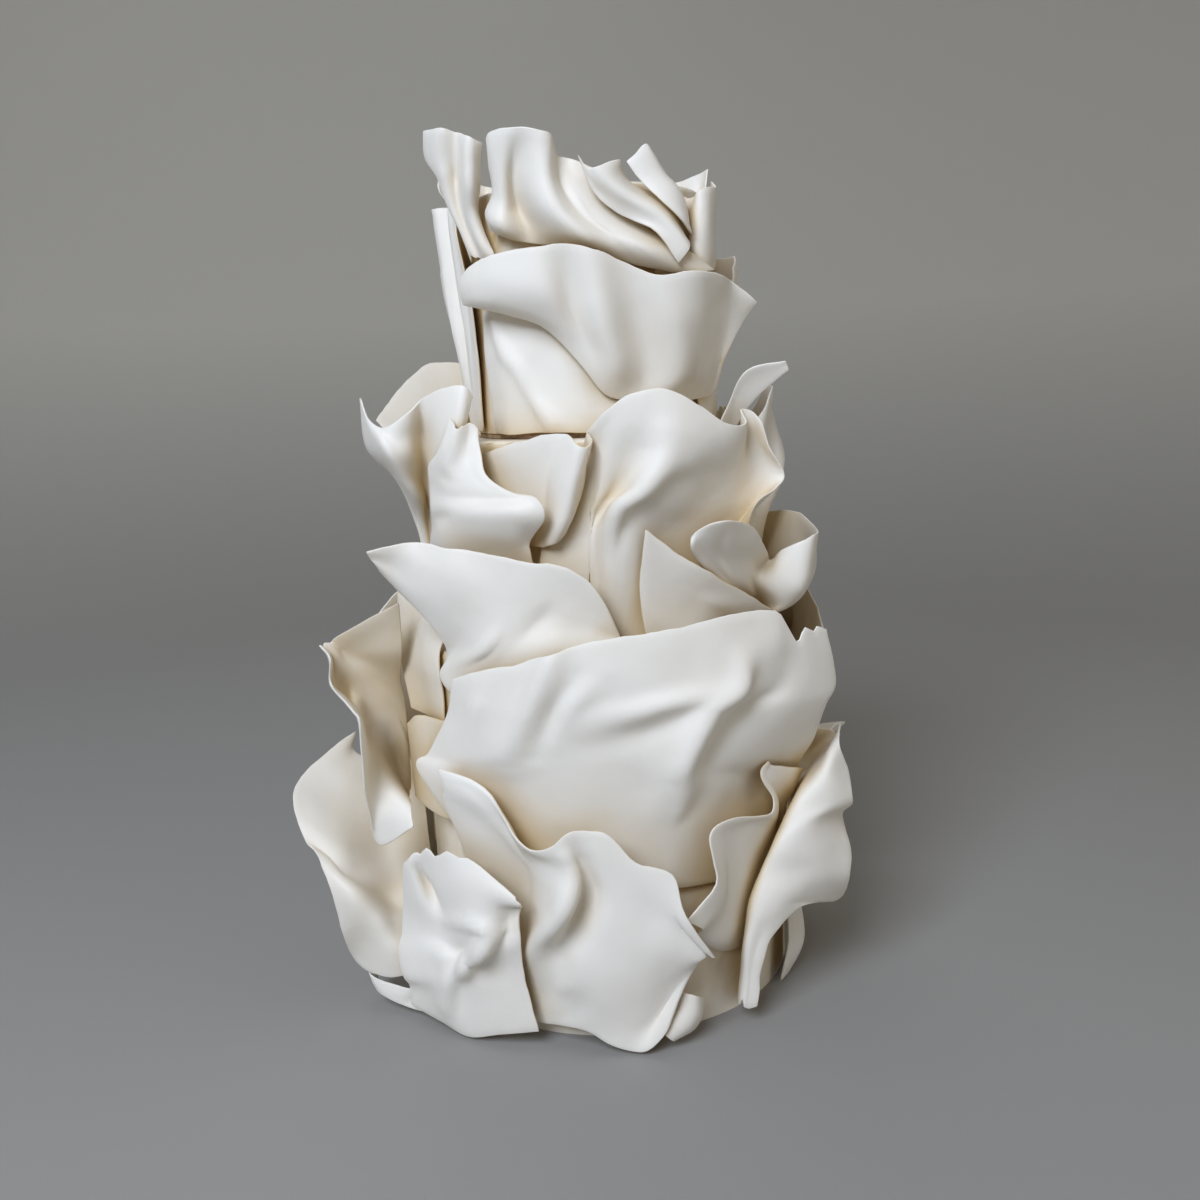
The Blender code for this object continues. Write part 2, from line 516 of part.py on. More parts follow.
LEFT_TWIST = {
    "name": "left_twist", "cells": (11, 7), "rails": [
        [(-65, 145, 276), (-67.5, 143, 260), (-70, 141, 241), (-76, 139, 223),
         (-80, 139, 204), (-80, 140, 189), (-80, 141, 175), (-80, 141, 160),
         (-80, 141, 146), (-80, 142, 129)],
        [(-76.5, 185, 250), (-77, 178, 244), (-77.5, 171, 237), (-78, 165, 229),
         (-78.5, 159, 217), (-79, 153, 203), (-79.5, 148, 191), (-79.5, 144, 177),
         (-79.5, 143, 157), (-79.5, 143, 130)],
        [(-76.5, 189, 249), (-76.5, 184, 241), (-77, 181, 229), (-77.5, 176, 217),
         (-77.5, 170, 206), (-78, 165, 195), (-78.5, 159, 184), (-79, 155, 170),
         (-79, 150, 152), (-72, 145, 136)],
        [(-76, 193, 247), (-76.5, 187, 237), (-76.5, 187, 220), (-77, 179, 207),
         (-70.5, 175, 204), (-71.5, 172, 195), (-73.5, 169, 183), (-69, 165, 170),
         (-64.5, 160, 158), (-59.5, 152, 146)],
        [(-76, 194, 247), (-76.5, 188, 236), (-76.5, 189, 219), (-67.5, 183, 214),
         (-63, 181, 210), (-61.5, 179, 204), (-62, 177, 187), (-63, 174, 163),
         (-61.5, 168, 143), (-55, 157, 142)],
        [(-76, 195, 247), (-70, 190, 241), (-72.5, 190, 222), (-61.5, 188, 219),
         (-57.5, 187, 215), (-55.5, 186, 209), (-57.5, 184, 181), (-60.5, 180, 150),
         (-63, 172, 117), (-52, 160, 136)]]}
SHADE_PANEL = {
    "name": "left_shade_panel", "cells": (4, 4), "rails": [
        [(-72, 138, 200), (-64, 130, 198), (-54, 129, 198)],
        [(-81, 141, 236), (-68, 129, 234), (-54, 124, 234)],
        [(-84, 140, 275), (-70, 124, 270), (-56, 113, 262)]]}
LEFT_SMALL = {
    "name": "left_small", "cells": (4, 3), "rails": [
        [(-66, 142, 142), (-59, 139, 138), (-52, 136, 136), (-44, 131, 136)],
        [(-70, 142, 191), (-65, 138, 198), (-58, 131, 201), (-48, 130, 200)]]}
LEFT_PETAL = {
    "name": "left_big_petal", "cells": (11, 7), "rails": [
        [(-47, 133, 40), (-52, 133, 46), (-58, 132, 56), (-66, 131, 70), (-74, 131, 86),
         (-82, 131, 102), (-90, 131, 118), (-96, 131, 132), (-100, 131, 146),
         (-104, 131, 160)],
        [(-54.5, 155, 49), (-59, 158, 56), (-62, 160, 64), (-68, 160, 72), (-72, 161, 84),
         (-77, 162, 95), (-82, 162, 106), (-87, 161, 117), (-92, 160, 128), (-97, 158, 139)],
        [(-50.5, 160, 46), (-55.5, 166, 45), (-59, 175, 54), (-60.5, 182, 70),
         (-62, 190, 88), (-66, 192, 99), (-70, 193, 110), (-76, 193, 119), (-84, 192, 129),
         (-90, 188, 141), (-96, 187, 150)],
        [(-50, 161, 43), (-55.5, 167, 31), (-61.5, 180, 27), (-67.5, 191, 32),
         (-65, 200, 60), (-65, 205, 91), (-69, 210, 112), (-74, 217, 123), (-80, 222, 136),
         (-86, 218, 145), (-92, 203, 155), (-98, 188, 164)]],
    "folds": [
        ([(0.6, 1), (0.56, 0.82), (0.48, 0.61), (0.36, 0.43), (0.25, 0.29), (0.13, 0.25)], 8, 4)]}
LEFT_BASE = {
    "name": "left_base_fold", "cells": (6, 3), "rails": [
        [(-44, 134, 4), (-50, 150, 3), (-56, 166, 6), (-63, 180, 12), (-70, 176, 8)],
        [(-46, 140, 22), (-51, 154, 22), (-57, 168, 20), (-65, 183, 22), (-72, 178, 24)]],
    "folds": [([(0.3, 0.9), (0.55, 0.1)], 4.0, -3.0)]}
BIG_FRONT = {
    "name": "big_front", "cells": (16, 7), "rails": [
        [(-45, 130, 98), (-33, 130, 99), (-20, 130, 100), (-8.5, 130, 100),
         (2.5, 130, 100), (13.5, 130, 99), (25.5, 130, 97), (40, 130, 94), (56, 130, 90)],
        [(-46, 131, 134), (-34, 131, 136), (-22, 132, 138), (-10, 133, 139), (1, 134, 139),
         (12, 135, 137), (22, 136, 134), (36, 133, 128), (54, 132, 122)],
        [(-58, 142, 169), (-42.5, 138, 171), (-29.5, 136, 172), (-16, 137, 174),
         (-4.5, 139, 174), (8, 140, 171), (18, 146, 168), (31, 138, 163), (50, 133, 153),
         (60, 143, 154)],
        [(-54.5, 141, 180), (-40.5, 140, 185), (-27.5, 141, 191), (-15, 141, 193),
         (-4, 142, 192), (8, 143, 189), (19, 151, 187), (27.5, 143, 181), (41.5, 145, 178),
         (59, 157, 178)],
        [(-46, 140, 207), (-34, 142, 214), (-23, 143, 216), (-12.5, 145, 219),
         (-2.5, 146, 220), (10.5, 148, 218), (23.5, 155, 214), (32, 150, 210),
         (43.5, 158, 207), (57, 168, 204)],
        [(-43, 141, 221), (-32.5, 143, 228), (-22, 143, 233), (-12, 147, 240),
         (-1, 148, 242), (13, 150, 239), (28.5, 157, 234), (37, 157, 231), (48, 164, 225),
         (58.5, 173, 220)],
        [(-41, 142, 235), (-30.5, 143, 243), (-20.5, 143, 249), (-12.5, 146, 256),
         (-2.5, 147, 264), (10, 149, 267), (22, 153, 271), (33, 157, 274),
         (43.5, 164, 270), (54.5, 172, 255)]],
    "folds": [
        ([(0.84, 0.94), (0.71, 0.87), (0.66, 0.72), (0.66, 0.58),
          (0.66, 0.42), (0.68, 0.26)], 7, 7),
        ([(0.87, 0.89), (0.79, 0.7), (0.75, 0.52), (0.73, 0.3)], 8, -5),
        ([(0.69, 0.86), (0.59, 0.77), (0.53, 0.72)], 7, 4),
        ([(0.62, 0.68), (0.56, 0.61), (0.46, 0.58)], 8, -4),
        ([(0.36, 1), (0.32, 0.81), (0.28, 0.64), (0.26, 0.49)], 7, 6),
        ([(0.4, 0.83), (0.35, 0.62), (0.33, 0.47)], 7, -3),
        ([(0.12, 0.87), (0.12, 0.64)], 5, 3)]}
RIGHT_FLAP = {
    "name": "right_flap", "cells": (3, 3), "rails": [
        [(88, 131, 128), (96, 131, 126), (106, 131, 128)],
        [(92, 168, 160), (98, 180, 156), (108, 170, 146)]]}
RIGHT_SMALL = {
    "name": "right_small", "cells": (5, 4), "rails": [
        [(58, 134, 3), (66, 134, 2), (74, 131, 2)],
        [(60, 138, 30), (67, 143, 28), (76, 133, 26)],
        [(62, 136, 62), (70, 137, 60), (78, 131, 58)]]}
RIGHT_S = {
    "name": "right_s", "cells": (13, 5), "rails": [
        [(61, 131, 155), (62, 131, 137), (59, 131, 118), (56, 131, 99), (52, 131, 81),
         (48.5, 131, 67), (44.5, 131, 56), (40.5, 131, 48), (36.5, 131, 46), (32, 131, 48),
         (28.5, 131, 52), (25, 132, 57)],
        [(54, 134, 161), (54, 135, 147), (54.5, 136, 131), (52, 136, 114), (47, 136, 104),
         (42.5, 137, 96), (39, 138, 87), (36, 139, 77), (31.5, 142, 71), (27, 144, 68),
         (23, 146, 70), (20, 148, 74)],
        [(46.5, 138, 168), (46.5, 138, 160), (47, 142, 152), (48, 145, 142),
         (47, 146, 132), (43, 146, 130), (36.5, 146, 131), (31.5, 147, 129),
         (28.5, 149, 121), (28, 150, 106), (26, 153, 93), (20, 159, 83)],
        [(44.5, 140, 172), (42.5, 141, 167), (42.5, 145, 159), (44.5, 149, 149),
         (42.5, 152, 141), (37.5, 152, 142), (31, 153, 146), (25, 156, 146),
         (22.5, 158, 140), (23, 159, 125), (23, 161, 110), (15.5, 165, 93)]]}
RIGHT_RUFFLE = {
    "name": "right_ruffle", "cells": (13, 7), "rails": [
        [(78, 131, 172), (76, 131, 158), (73, 131, 142), (70, 131, 124), (66, 131, 106),
         (62, 131, 90), (58, 131, 74), (55, 131, 60), (52, 131, 46), (50, 131, 32),
         (48, 131, 18), (47, 131, 3)],
        [(78.5, 158, 168), (79.5, 147, 150), (62.5, 143, 144), (55.5, 141, 131),
         (51, 140, 119), (47.5, 139, 108), (44.5, 138, 97), (42, 137, 84), (40, 136, 70),
         (39, 136, 50), (37.5, 136, 30), (36.5, 136, 9)],
        [(78, 165, 163), (67.5, 157, 158), (54.5, 156, 152), (48.5, 155, 139),
         (45, 154, 128), (42, 153, 118), (40, 151, 105), (38, 149, 92), (36.5, 148, 78),
         (35, 147, 58), (34.5, 146, 38), (33, 146, 16)],
        [(78, 165, 168), (61, 167, 170), (55.5, 170, 157), (54, 171, 140), (50, 168, 132),
         (49.5, 169, 114), (49, 167, 99), (45.5, 163, 87), (41, 158, 80), (38, 152, 62),
         (36, 149, 40), (34.5, 149, 13)],
        [(69.5, 168, 182), (62, 172, 174), (63, 178, 156), (61.5, 182, 137),
         (64.5, 172, 123), (61.5, 180, 104), (59.5, 181, 87), (62.5, 171, 65),
         (48.5, 163, 75), (40.5, 155, 60), (38, 152, 39), (36.5, 152, 14)]]}
FRONT_LOWER = {
    "name": "front_lower", "cells": (18, 7), "rails": [
        [(-42, 131, 120), (-40, 130, 104), (-38, 130, 92), (-36, 130, 80), (-32, 130, 66),
         (-28, 131, 50), (-26.5, 132, 30), (-23, 136, 14), (-15, 141, 15), (-7.5, 145, 15),
         (-1.5, 147, 7), (5, 147, 3), (11, 147, 13), (14, 150, 31)],
        [(-44.5, 146, 155), (-38, 144, 148), (-31, 142, 136), (-26, 140, 122),
         (-21.5, 140, 107), (-22, 140, 80), (-20, 146, 62), (-13, 152, 56), (-6, 154, 51),
         (-1, 153, 40), (5.5, 151, 30), (11.5, 150, 35), (14.5, 153, 46), (17.5, 158, 57)],
        [(-43, 150, 164), (-34.5, 150, 162), (-29, 148, 152), (-24.5, 146, 137),
         (-20, 146, 125), (-15.5, 152, 114), (-12, 160, 102), (-8, 154, 90), (-2, 157, 82),
         (2.5, 159, 76), (6.5, 160, 72), (11, 162, 72), (14.5, 163, 69), (18, 165, 66)],
        [(-43.5, 151, 172), (-35.5, 150, 171), (-29, 150, 164), (-24.5, 149, 149),
         (-20.5, 149, 133), (-15, 155, 130), (-9.5, 160, 127), (-6, 153, 119),
         (-1, 158, 115), (3.5, 160, 108), (7.5, 161, 102), (11.5, 163, 98), (15, 164, 90),
         (19.5, 166, 69)],
        [(-45, 150, 177), (-36, 149, 175), (-29, 150, 169), (-25, 152, 156),
         (-21.5, 155, 144), (-17, 160, 139), (-12, 163, 144), (-8.5, 162, 152),
         (-4, 160, 152), (0, 161, 149), (5, 162, 133), (12.5, 164, 123), (15, 165, 97),
         (21, 166, 68)]],
    "folds": [
        ([(0.49, 0.88), (0.48, 0.62), (0.48, 0.47), (0.46, 0.35), (0.43, 0.17)], 6, 8),
        ([(0.55, 0.85), (0.56, 0.72), (0.53, 0.53), (0.51, 0.35),
          (0.54, 0.15), (0.62, 0.1)], 8, -6)]}
FRONT_CURL = {
    "name": "front_curl", "cells": (4, 3), "rails": [
        [(14, 141, 34), (13, 141, 27), (11, 141, 21), (9.5, 141, 15)],
        [(15.5, 149, 38), (15.5, 150, 29), (13, 150, 21), (10.5, 150, 14)],
        [(19, 152, 35), (19, 152, 24), (16.5, 152, 15), (13, 151, 8)],
        [(22.5, 144, 27), (22, 143, 14), (19.5, 142, 6), (15.5, 141, 3)]]}
LEFT_LEAF = {
    "name": "left_front_leaf", "cells": (7, 9), "rails": [
        [(-54.5, 158, 9), (-45.5, 158, 7), (-37.5, 157, 3), (-29, 153, 9), (-19.5, 149, 14)],
        [(-54.5, 160, 30), (-43.5, 164, 36), (-37, 160, 37), (-29.5, 155, 40),
         (-21.5, 151, 42)],
        [(-55.5, 162, 47), (-46.5, 163, 54), (-38, 166, 59), (-31, 158, 60), (-22, 153, 60)],
        [(-55, 165, 70), (-49, 162, 68), (-42.5, 160, 67), (-30, 166, 75), (-21.5, 157, 79)],
        [(-53, 168, 94), (-48.5, 165, 91), (-43.5, 160, 83), (-30.5, 167, 92),
         (-21, 161, 94)],
        [(-50.5, 171, 114), (-48.5, 168, 112), (-46, 161, 105), (-33, 166, 113),
         (-19.5, 166, 107)],
        [(-49, 171, 119), (-47.5, 168, 124), (-43, 165, 130), (-32, 162, 128),
         (-19.5, 166, 109)]],
    "folds": [
        ([(0.31, 0.86), (0.46, 0.81), (0.5, 0.7), (0.56, 0.67)], 5, -3),
        ([(0.58, 0.65), (0.73, 0.65), (0.81, 0.62), (0.85, 0.57), (0.73, 0.43),
          (0.58, 0.3), (0.38, 0.19), (0.31, 0.08)], 5, 8),
        ([(0.7, 0.52), (0.6, 0.42), (0.5, 0.3), (0.45, 0.12)], 6, -3),
        ([(0.97, 0.72), (0.91, 0.55), (0.83, 0.44)], 6, -5)]}

# Sheets of the back half, like those of the front but turned and mirrored
BACK_SHEETS = [
    turned(MID_DRAPE, "back_drape_left", (12, 5), -160, flip=True, lift=-4, swell=0.7),
    turned(MID_DRAPE, "back_drape_right", (12, 5), 126, lift=3, swell=0.8),
    turned(CROWN_CENTRE, "back_crown_left", (9, 4), -146, flip=True, lift=-8),
    turned(CROWN_CENTRE, "back_crown_right", (9, 4), 150, lift=-4),
    turned(CROWN_LEFT, "back_crown_side", (5, 4), 178, flip=True, lift=-6),
    turned(RIGHT_BIG, "back_middle_right", (10, 6), 84, lift=-2, swell=0.85),
    turned(LEFT_CUP, "back_middle_cup", (9, 5), 205, lift=-6, swell=0.85),
    turned(RIGHT_BIG, "back_middle_left", (10, 6), 196, flip=True, swell=0.8),
    turned(LEFT_BIG_LEAF, "back_leaf_right", (9, 5), 118, flip=True, lift=-4, swell=0.8),
    turned(LEFT_BIG_LEAF, "back_leaf_left", (9, 5), 214, lift=-2, swell=0.8),
    turned(BIG_FRONT, "back_bottom_right", (12, 6), 140, flip=True, lift=-3,
           swell=0.7),
    turned(BIG_FRONT, "back_bottom_left", (12, 6), 210, lift=-6, swell=0.9),
    turned(FRONT_LOWER, "back_ruffle_right", (14, 5), 118, flip=True),
    turned(FRONT_LOWER, "back_ruffle_left", (14, 5), 238, swell=0.95),
    turned(LEFT_BIG_LEAF, "side_leaf_left", (9, 5), -84, lift=-3, swell=0.5),
    turned(FRONT_PANEL, "side_panel_right", (5, 3), 110),
    turned(FRONT_PANEL, "back_panel_right", (5, 3), 172, flip=True, lift=2),
    turned(FRONT_PANEL, "back_panel_left", (5, 3), -122, lift=1),
    turned(LEFT_LEAF, "back_leaf_low", (6, 8), 212, flip=False, swell=0.9),
]
BACK = {made["name"]: made for made in BACK_SHEETS}

# The order in which the sheets are laid on the cake
ORDER = [
    LEFT_PLEATS, FRONT_PANEL, BACK["side_panel_right"], BACK["back_panel_right"],
    BACK["back_panel_left"], BACK["back_crown_left"], BACK["back_crown_right"],
    BACK["back_crown_side"], ROLL_RIGHT, BACK["back_drape_left"],
    BACK["back_drape_right"], CROWN_CENTRE, CROWN_LEFT, CROWN_RIGHT, CROWN_POINT,
    MID_DRAPE, LEFT_BACK_LEAF, RIGHT_LEAF, LEFT_CUP, RIGHT_BIG, CENTRE_TUBE,
    LEFT_LOBE, BACK["back_middle_right"], BACK["back_middle_cup"],
    BACK["back_middle_left"], RIGHT_SCROLL, RIGHT_TRIANGLE, BACK["side_leaf_left"],
    SHADE_PANEL, LEFT_SMALL, LEFT_BIG_LEAF, BACK["back_leaf_right"],
    BACK["back_leaf_left"], BIG_FRONT, LEFT_TWIST, BACK["back_bottom_right"],
    BACK["back_bottom_left"], LEFT_PETAL, LEFT_BASE, RIGHT_FLAP, RIGHT_SMALL, RIGHT_S,
    RIGHT_RUFFLE, BACK["back_ruffle_right"], BACK["back_ruffle_left"], FRONT_CURL,
    FRONT_LOWER, LEFT_LEAF, BACK["back_leaf_low"],
]


def icing_material(name, colour, roughness):
    """A plain material for one object."""
    made = bpy.data.materials.new(name)
    made.use_nodes = True
    shader = made.node_tree.nodes["Principled BSDF"]
    shader.inputs["Base Color"].default_value = (*colour, 1.0)
    shader.inputs["Roughness"].default_value = roughness
    shader.inputs["Metallic"].default_value = 0.0
    return made


def add_mesh(name, verts, faces, origin, colour=ICING, roughness=ICING_ROUGHNESS):
    """A mesh object from points in millimetres, placed at its origin point."""
    mesh = bpy.data.meshes.new(name)
    local = (np.asarray(verts, float) - np.asarray(origin, float)) * MM
    mesh.from_pydata(local.tolist(), [], faces)
    mesh.materials.append(icing_material(name, colour, roughness))
    mesh.shade_smooth()
    mesh.set_sharp_from_angle(angle=math.radians(40.0))
    item = bpy.data.objects.new(name, mesh)
    item.location = [float(c) * MM for c in origin]
    bpy.context.scene.collection.objects.link(item)
    return item


def sheet_solid(name, grid, thickness):
    """Give a middle surface its thickness, with both faces cut alike."""
    rows, columns = grid.shape[:2]
    normal = grid_normals(grid)
    front = (grid + normal * thickness / 2).reshape(-1, 3)
    back = (grid - normal * thickness / 2).reshape(-1, 3)
    verts = np.concatenate([front, back])
    verts[:, 2] = np.maximum(verts[:, 2], FLOOR_GAP)
    count = rows * columns
    faces = []
    for a, b, c in grid_triangles(rows, columns):
        faces.append((a, b, c))
        faces.append((count + a, count + c, count + b))
    ring = ([j for j in range(columns)]
            + [i * columns + columns - 1 for i in range(1, rows)]
            + [(rows - 1) * columns + j for j in range(columns - 2, -1, -1)]
            + [i * columns for i in range(rows - 2, 0, -1)])
    for a, b in zip(ring, ring[1:] + ring[:1]):
        faces.append((b, a, count + a))
        faces.append((b, count + a, count + b))
    origin = np.round(grid[0].mean(0))
    return add_mesh(name, verts, faces, origin)


def round_solid(name, profile, colour=ICING, roughness=ICING_ROUGHNESS):
    """A solid turned from (radius, height) points, from its bottom to its top."""
    verts = [(0.0, 0.0, profile[0][1])]
    for radius, height in profile:
        for k in range(TIER_SIDES):
            angle = 2 * math.pi * k / TIER_SIDES
            verts.append((radius * math.cos(angle), radius * math.sin(angle), height))
    verts.append((0.0, 0.0, profile[-1][1]))
    last = len(verts) - 1
    faces = []
    for k in range(TIER_SIDES):
        nxt = (k + 1) % TIER_SIDES
        faces.append((0, 1 + nxt, 1 + k))
        for ring in range(len(profile) - 1):
            low = 1 + ring * TIER_SIDES
            high = low + TIER_SIDES
            faces.append((low + k, low + nxt, high + nxt, high + k))
        top = 1 + (len(profile) - 1) * TIER_SIDES
        faces.append((last, top + k, top + nxt))
    return add_mesh(name, verts, faces, (0.0, 0.0, profile[0][1]), colour, roughness)


def tier_profile(radius, bottom, top):
    """Straight side with a softened top edge."""
    return [(radius, bottom), (radius, top - TIER_EDGE),
            (radius - TIER_EDGE * 0.3, top - TIER_EDGE * 0.3), (radius - TIER_EDGE, top)]


def main():
    for item in list(bpy.data.objects):
        bpy.data.objects.remove(item)
    round_solid("tier_bottom", tier_profile(BOTTOM_RADIUS, 0.0, BOTTOM_TOP - TIER_GAP))
    round_solid("tier_middle", tier_profile(MIDDLE_RADIUS, BOTTOM_TOP,
                                            MIDDLE_TOP - TIER_GAP))
    round_solid("tier_card", [(CARD_RADIUS, MIDDLE_TOP),
                              (CARD_RADIUS, MIDDLE_TOP + CARD_THICKNESS - TIER_GAP)],
                CARD, CARD_ROUGHNESS)
    round_solid("tier_top", tier_profile(TOP_RADIUS, MIDDLE_TOP + CARD_THICKNESS, TOP_TOP))
    laid = []
    for sheet in ORDER:
        grid = opened(sheet_grid(sheet, *sheet["cells"]), SHEET_THICKNESS)
        for _ in range(SETTLE_PASSES):
            grid = opened(settle(grid, laid), SHEET_THICKNESS)
        laid.append(grid)
        sheet_solid(sheet["name"], grid, SHEET_THICKNESS)


main()
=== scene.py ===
import math

import bpy
import numpy as np
from mathutils import Matrix, Vector, noise
from mathutils.bvhtree import BVHTree


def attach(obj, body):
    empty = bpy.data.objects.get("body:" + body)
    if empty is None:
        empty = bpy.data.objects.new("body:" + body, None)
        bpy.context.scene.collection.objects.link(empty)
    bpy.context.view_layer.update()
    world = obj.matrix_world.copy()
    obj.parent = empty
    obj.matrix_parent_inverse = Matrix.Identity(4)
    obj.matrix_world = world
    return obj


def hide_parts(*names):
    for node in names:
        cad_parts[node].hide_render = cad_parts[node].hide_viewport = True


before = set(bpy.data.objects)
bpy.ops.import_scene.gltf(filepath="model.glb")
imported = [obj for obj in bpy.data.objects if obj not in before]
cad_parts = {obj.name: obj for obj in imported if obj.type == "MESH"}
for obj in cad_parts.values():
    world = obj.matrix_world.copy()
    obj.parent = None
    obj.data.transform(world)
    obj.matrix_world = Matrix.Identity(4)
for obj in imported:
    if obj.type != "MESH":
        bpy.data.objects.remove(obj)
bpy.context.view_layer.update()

# Sizes of the cake in millimetres, as in the solids
MM = 0.001
TOP_RADIUS = 77.5
MIDDLE_RADIUS = 102.0
BOTTOM_RADIUS = 126.0
BOTTOM_TOP = 245.0
MIDDLE_TOP = 379.0
TOP_TOP = 531.0
CARD_THICKNESS = 3.0
TIER_GAP = 0.4
TIER_EDGE = 4.0
SHEET_THICKNESS = 2.4
SHEET_GAP = 0.45
FLOOR_GAP = 0.3

# Distance between the middle surfaces of two sheets, and of a sheet and a tier
LAYER_PITCH = SHEET_THICKNESS + SHEET_GAP + 0.55
WALL_PITCH = SHEET_THICKNESS / 2 + SHEET_GAP + 0.35

# Laying a sheet on the cake: passes, spacing of the sample points and reach of a push
SETTLE_PASSES = 3
SETTLE_ROUNDS = 40
SAMPLE_STEP = 3.2
PUSH_REACH = 16.0
PUSH_SPREADS = 12
SETTLED = 0.02
FINE_SETTLED = 0.05
CLEAR_ROUNDS = 8
CLEAR_MARGIN = 12.0
MOST_GROWTH = 4.0
# A tier's wall counts up to this much above its top
TIER_MARGIN = 2.0
# Radius outside the whole cake, and how far off a sheet still counts as near
FAR_OUT = 320.0
NEAR_LIMIT = 14.0
# A push goes outwards where the way off is at least this much outwards
LEAST_SLOPE = 0.5
# Share of a sample point that a corner has to have to be moved with it
CORNER_SHARE = 0.12
# How far a turned sheet's wall line lies outside the tier
TURNED_OFFSET = 3.0

# A bend is too tight where a face keeps less than this share of the middle's length
LEAST_FACE = 0.4
EASE_ROUNDS = 60
EASE_SHARE = 0.4

# A fold that ends inside its sheet, off the rim, fades out over a share of its length
FOLD_FADE = 0.5
FOLD_RIM = 0.06
FOLD_END = 0.25

# Half the thickness of a sheet at its edge, and how far in the full thickness starts
EDGE_HALF = 0.6
THIN_REACH = 12.0

# Fine surface of the sheets
FINE_CELL = 4.0
BACK_CELL = 5.5
RELIEF_HEIGHT = 0.55
RELIEF_SIZE = 34.0
EDGE_WAVE = 1.1
EDGE_SIZE = 17.0
EDGE_REACH = 9.0

# Painted shade: hollows between the sheets get a darker, warmer base colour, standing in for the
# shade there and the warm light that comes to them through icing
OPEN_REACH = 85.0
SHADE_PAINT_FROM = 0.22
SHADE_PAINT_TO = 0.95
SHADE_PAINT_TINT = (0.70, 0.55, 0.31)

# The photograph's view
LENS = 34.5
SENSOR = 36.0
CAMERA_PLACE = (0.0, -0.8, 0.412)
CAMERA_PITCH = 10.7
CAMERA_ROLL = -2.37


def spline(points, where):
    """A smooth line through evenly numbered points, at fractions of its length."""
    points = np.asarray(points, float)
    spans = len(points) - 1
    ends = np.concatenate([[2 * points[0] - points[1]], points,
                           [2 * points[-1] - points[-2]]])
    place = np.clip(where, 0.0, 1.0) * spans
    first = np.minimum(place.astype(int), spans - 1)
    t = (place - first).reshape((-1,) + (1,) * (points.ndim - 1))
    a, b, c, d = ends[first], ends[first + 1], ends[first + 2], ends[first + 3]
    return 0.5 * (2 * b + (c - a) * t + (2 * a - 5 * b + 4 * c - d) * t ** 2
                  + (3 * b - a - 3 * c + d) * t ** 3)


def rail(points):
    """Azimuth, radius and height of each point to x, y and z."""
    table = np.asarray(points, float)
    angle = np.radians(table[:, 0])
    return np.stack([table[:, 1] * np.sin(angle), -table[:, 1] * np.cos(angle),
                     table[:, 2]], 1)


def grid_normals(grid):
    """Unit normals of a grid of points."""
    along = np.gradient(grid, axis=1)
    across = np.gradient(grid, axis=0)
    normal = np.cross(along, across)
    length = np.linalg.norm(normal, axis=2, keepdims=True)
    return normal / np.maximum(length, 1e-9)


def cell_size(grid):
    """Mean length of a grid's cells along its rows and across them."""
    return (np.linalg.norm(np.diff(grid, axis=1), axis=2).mean(),
            np.linalg.norm(np.diff(grid, axis=0), axis=2).mean())


def fold_height(u, v, size, path, width, height):
    """Height of a fold along a path of (u, v) points, which fades out at its inner ends."""
    spans = [math.hypot((u1 - u0) * size[0], (v1 - v0) * size[1])
             for (u0, v0), (u1, v1) in zip(path[:-1], path[1:])]
    best = np.full(u.shape, 1e9)
    place = np.zeros(u.shape)
    done = 0.0
    for (u0, v0), (u1, v1), span in zip(path[:-1], path[1:], spans):
        du = (u1 - u0) * size[0]
        dv = (v1 - v0) * size[1]
        pu = (u - u0) * size[0]
        pv = (v - v0) * size[1]
        t = np.clip((pu * du + pv * dv) / (du * du + dv * dv), 0.0, 1.0)
        away = np.hypot(pu - t * du, pv - t * dv)
        place = np.where(away < best, done + t * span, place)
        best = np.minimum(best, away)
        done += span
    strength = np.ones(u.shape)
    for (end_u, end_v), gone in ((path[0], place), (path[-1], done - place)):
        if min(end_u, end_v, 1.0 - end_u, 1.0 - end_v) > FOLD_RIM:
            share = np.clip(gone / (FOLD_FADE * done), 0.0, 1.0)
            strength *= FOLD_END + (1.0 - FOLD_END) * share * share * (3.0 - 2.0 * share)
    return height * strength * np.exp(-(best / width) ** 2)


def sheet_grid(sheet, cells_u, cells_v):
    """Middle surface of a sheet: rails from its root to its rim, plus folds."""
    u = np.linspace(0.0, 1.0, cells_u + 1)
    v = np.linspace(0.0, 1.0, cells_v + 1)
    lines = np.array([spline(rail(points), u) for points in sheet["rails"]])
    grid = spline(lines, v)
    uu, vv = np.meshgrid(u, v)
    size = (np.linalg.norm(np.diff(grid, axis=1), axis=2).sum(1).mean(),
            np.linalg.norm(np.diff(grid, axis=0), axis=2).sum(0).mean())
    rise = np.zeros(uu.shape)
    cell = max(size[0] / cells_u, size[1] / cells_v)
    for path, width, height in sheet.get("folds", ()):
        wide = max(width, cell)
        rise += fold_height(uu, vv, size, path, wide, height * width / wide)
    normal = grid_normals(grid)
    outward = np.sign((normal[..., :2] * grid[..., :2]).sum())
    return grid + outward * normal * rise[..., None]


def grid_triangles(rows, columns):
    """Triangles of a grid, each cell cut along the same diagonal."""
    faces = []
    for i in range(rows - 1):
        for j in range(columns - 1):
            a = i * columns + j
            faces.append((a, a + 1, a + columns + 1))
            faces.append((a, a + columns + 1, a + columns))
    return faces


def wall_radius(height):
    """Radius of the cake itself at a height."""
    upper = np.where(height < MIDDLE_TOP + TIER_MARGIN, MIDDLE_RADIUS, TOP_RADIUS)
    inside = np.where(height < BOTTOM_TOP + TIER_MARGIN, BOTTOM_RADIUS, upper)
    return np.where(height > TOP_TOP + TIER_MARGIN, 0.0, inside)


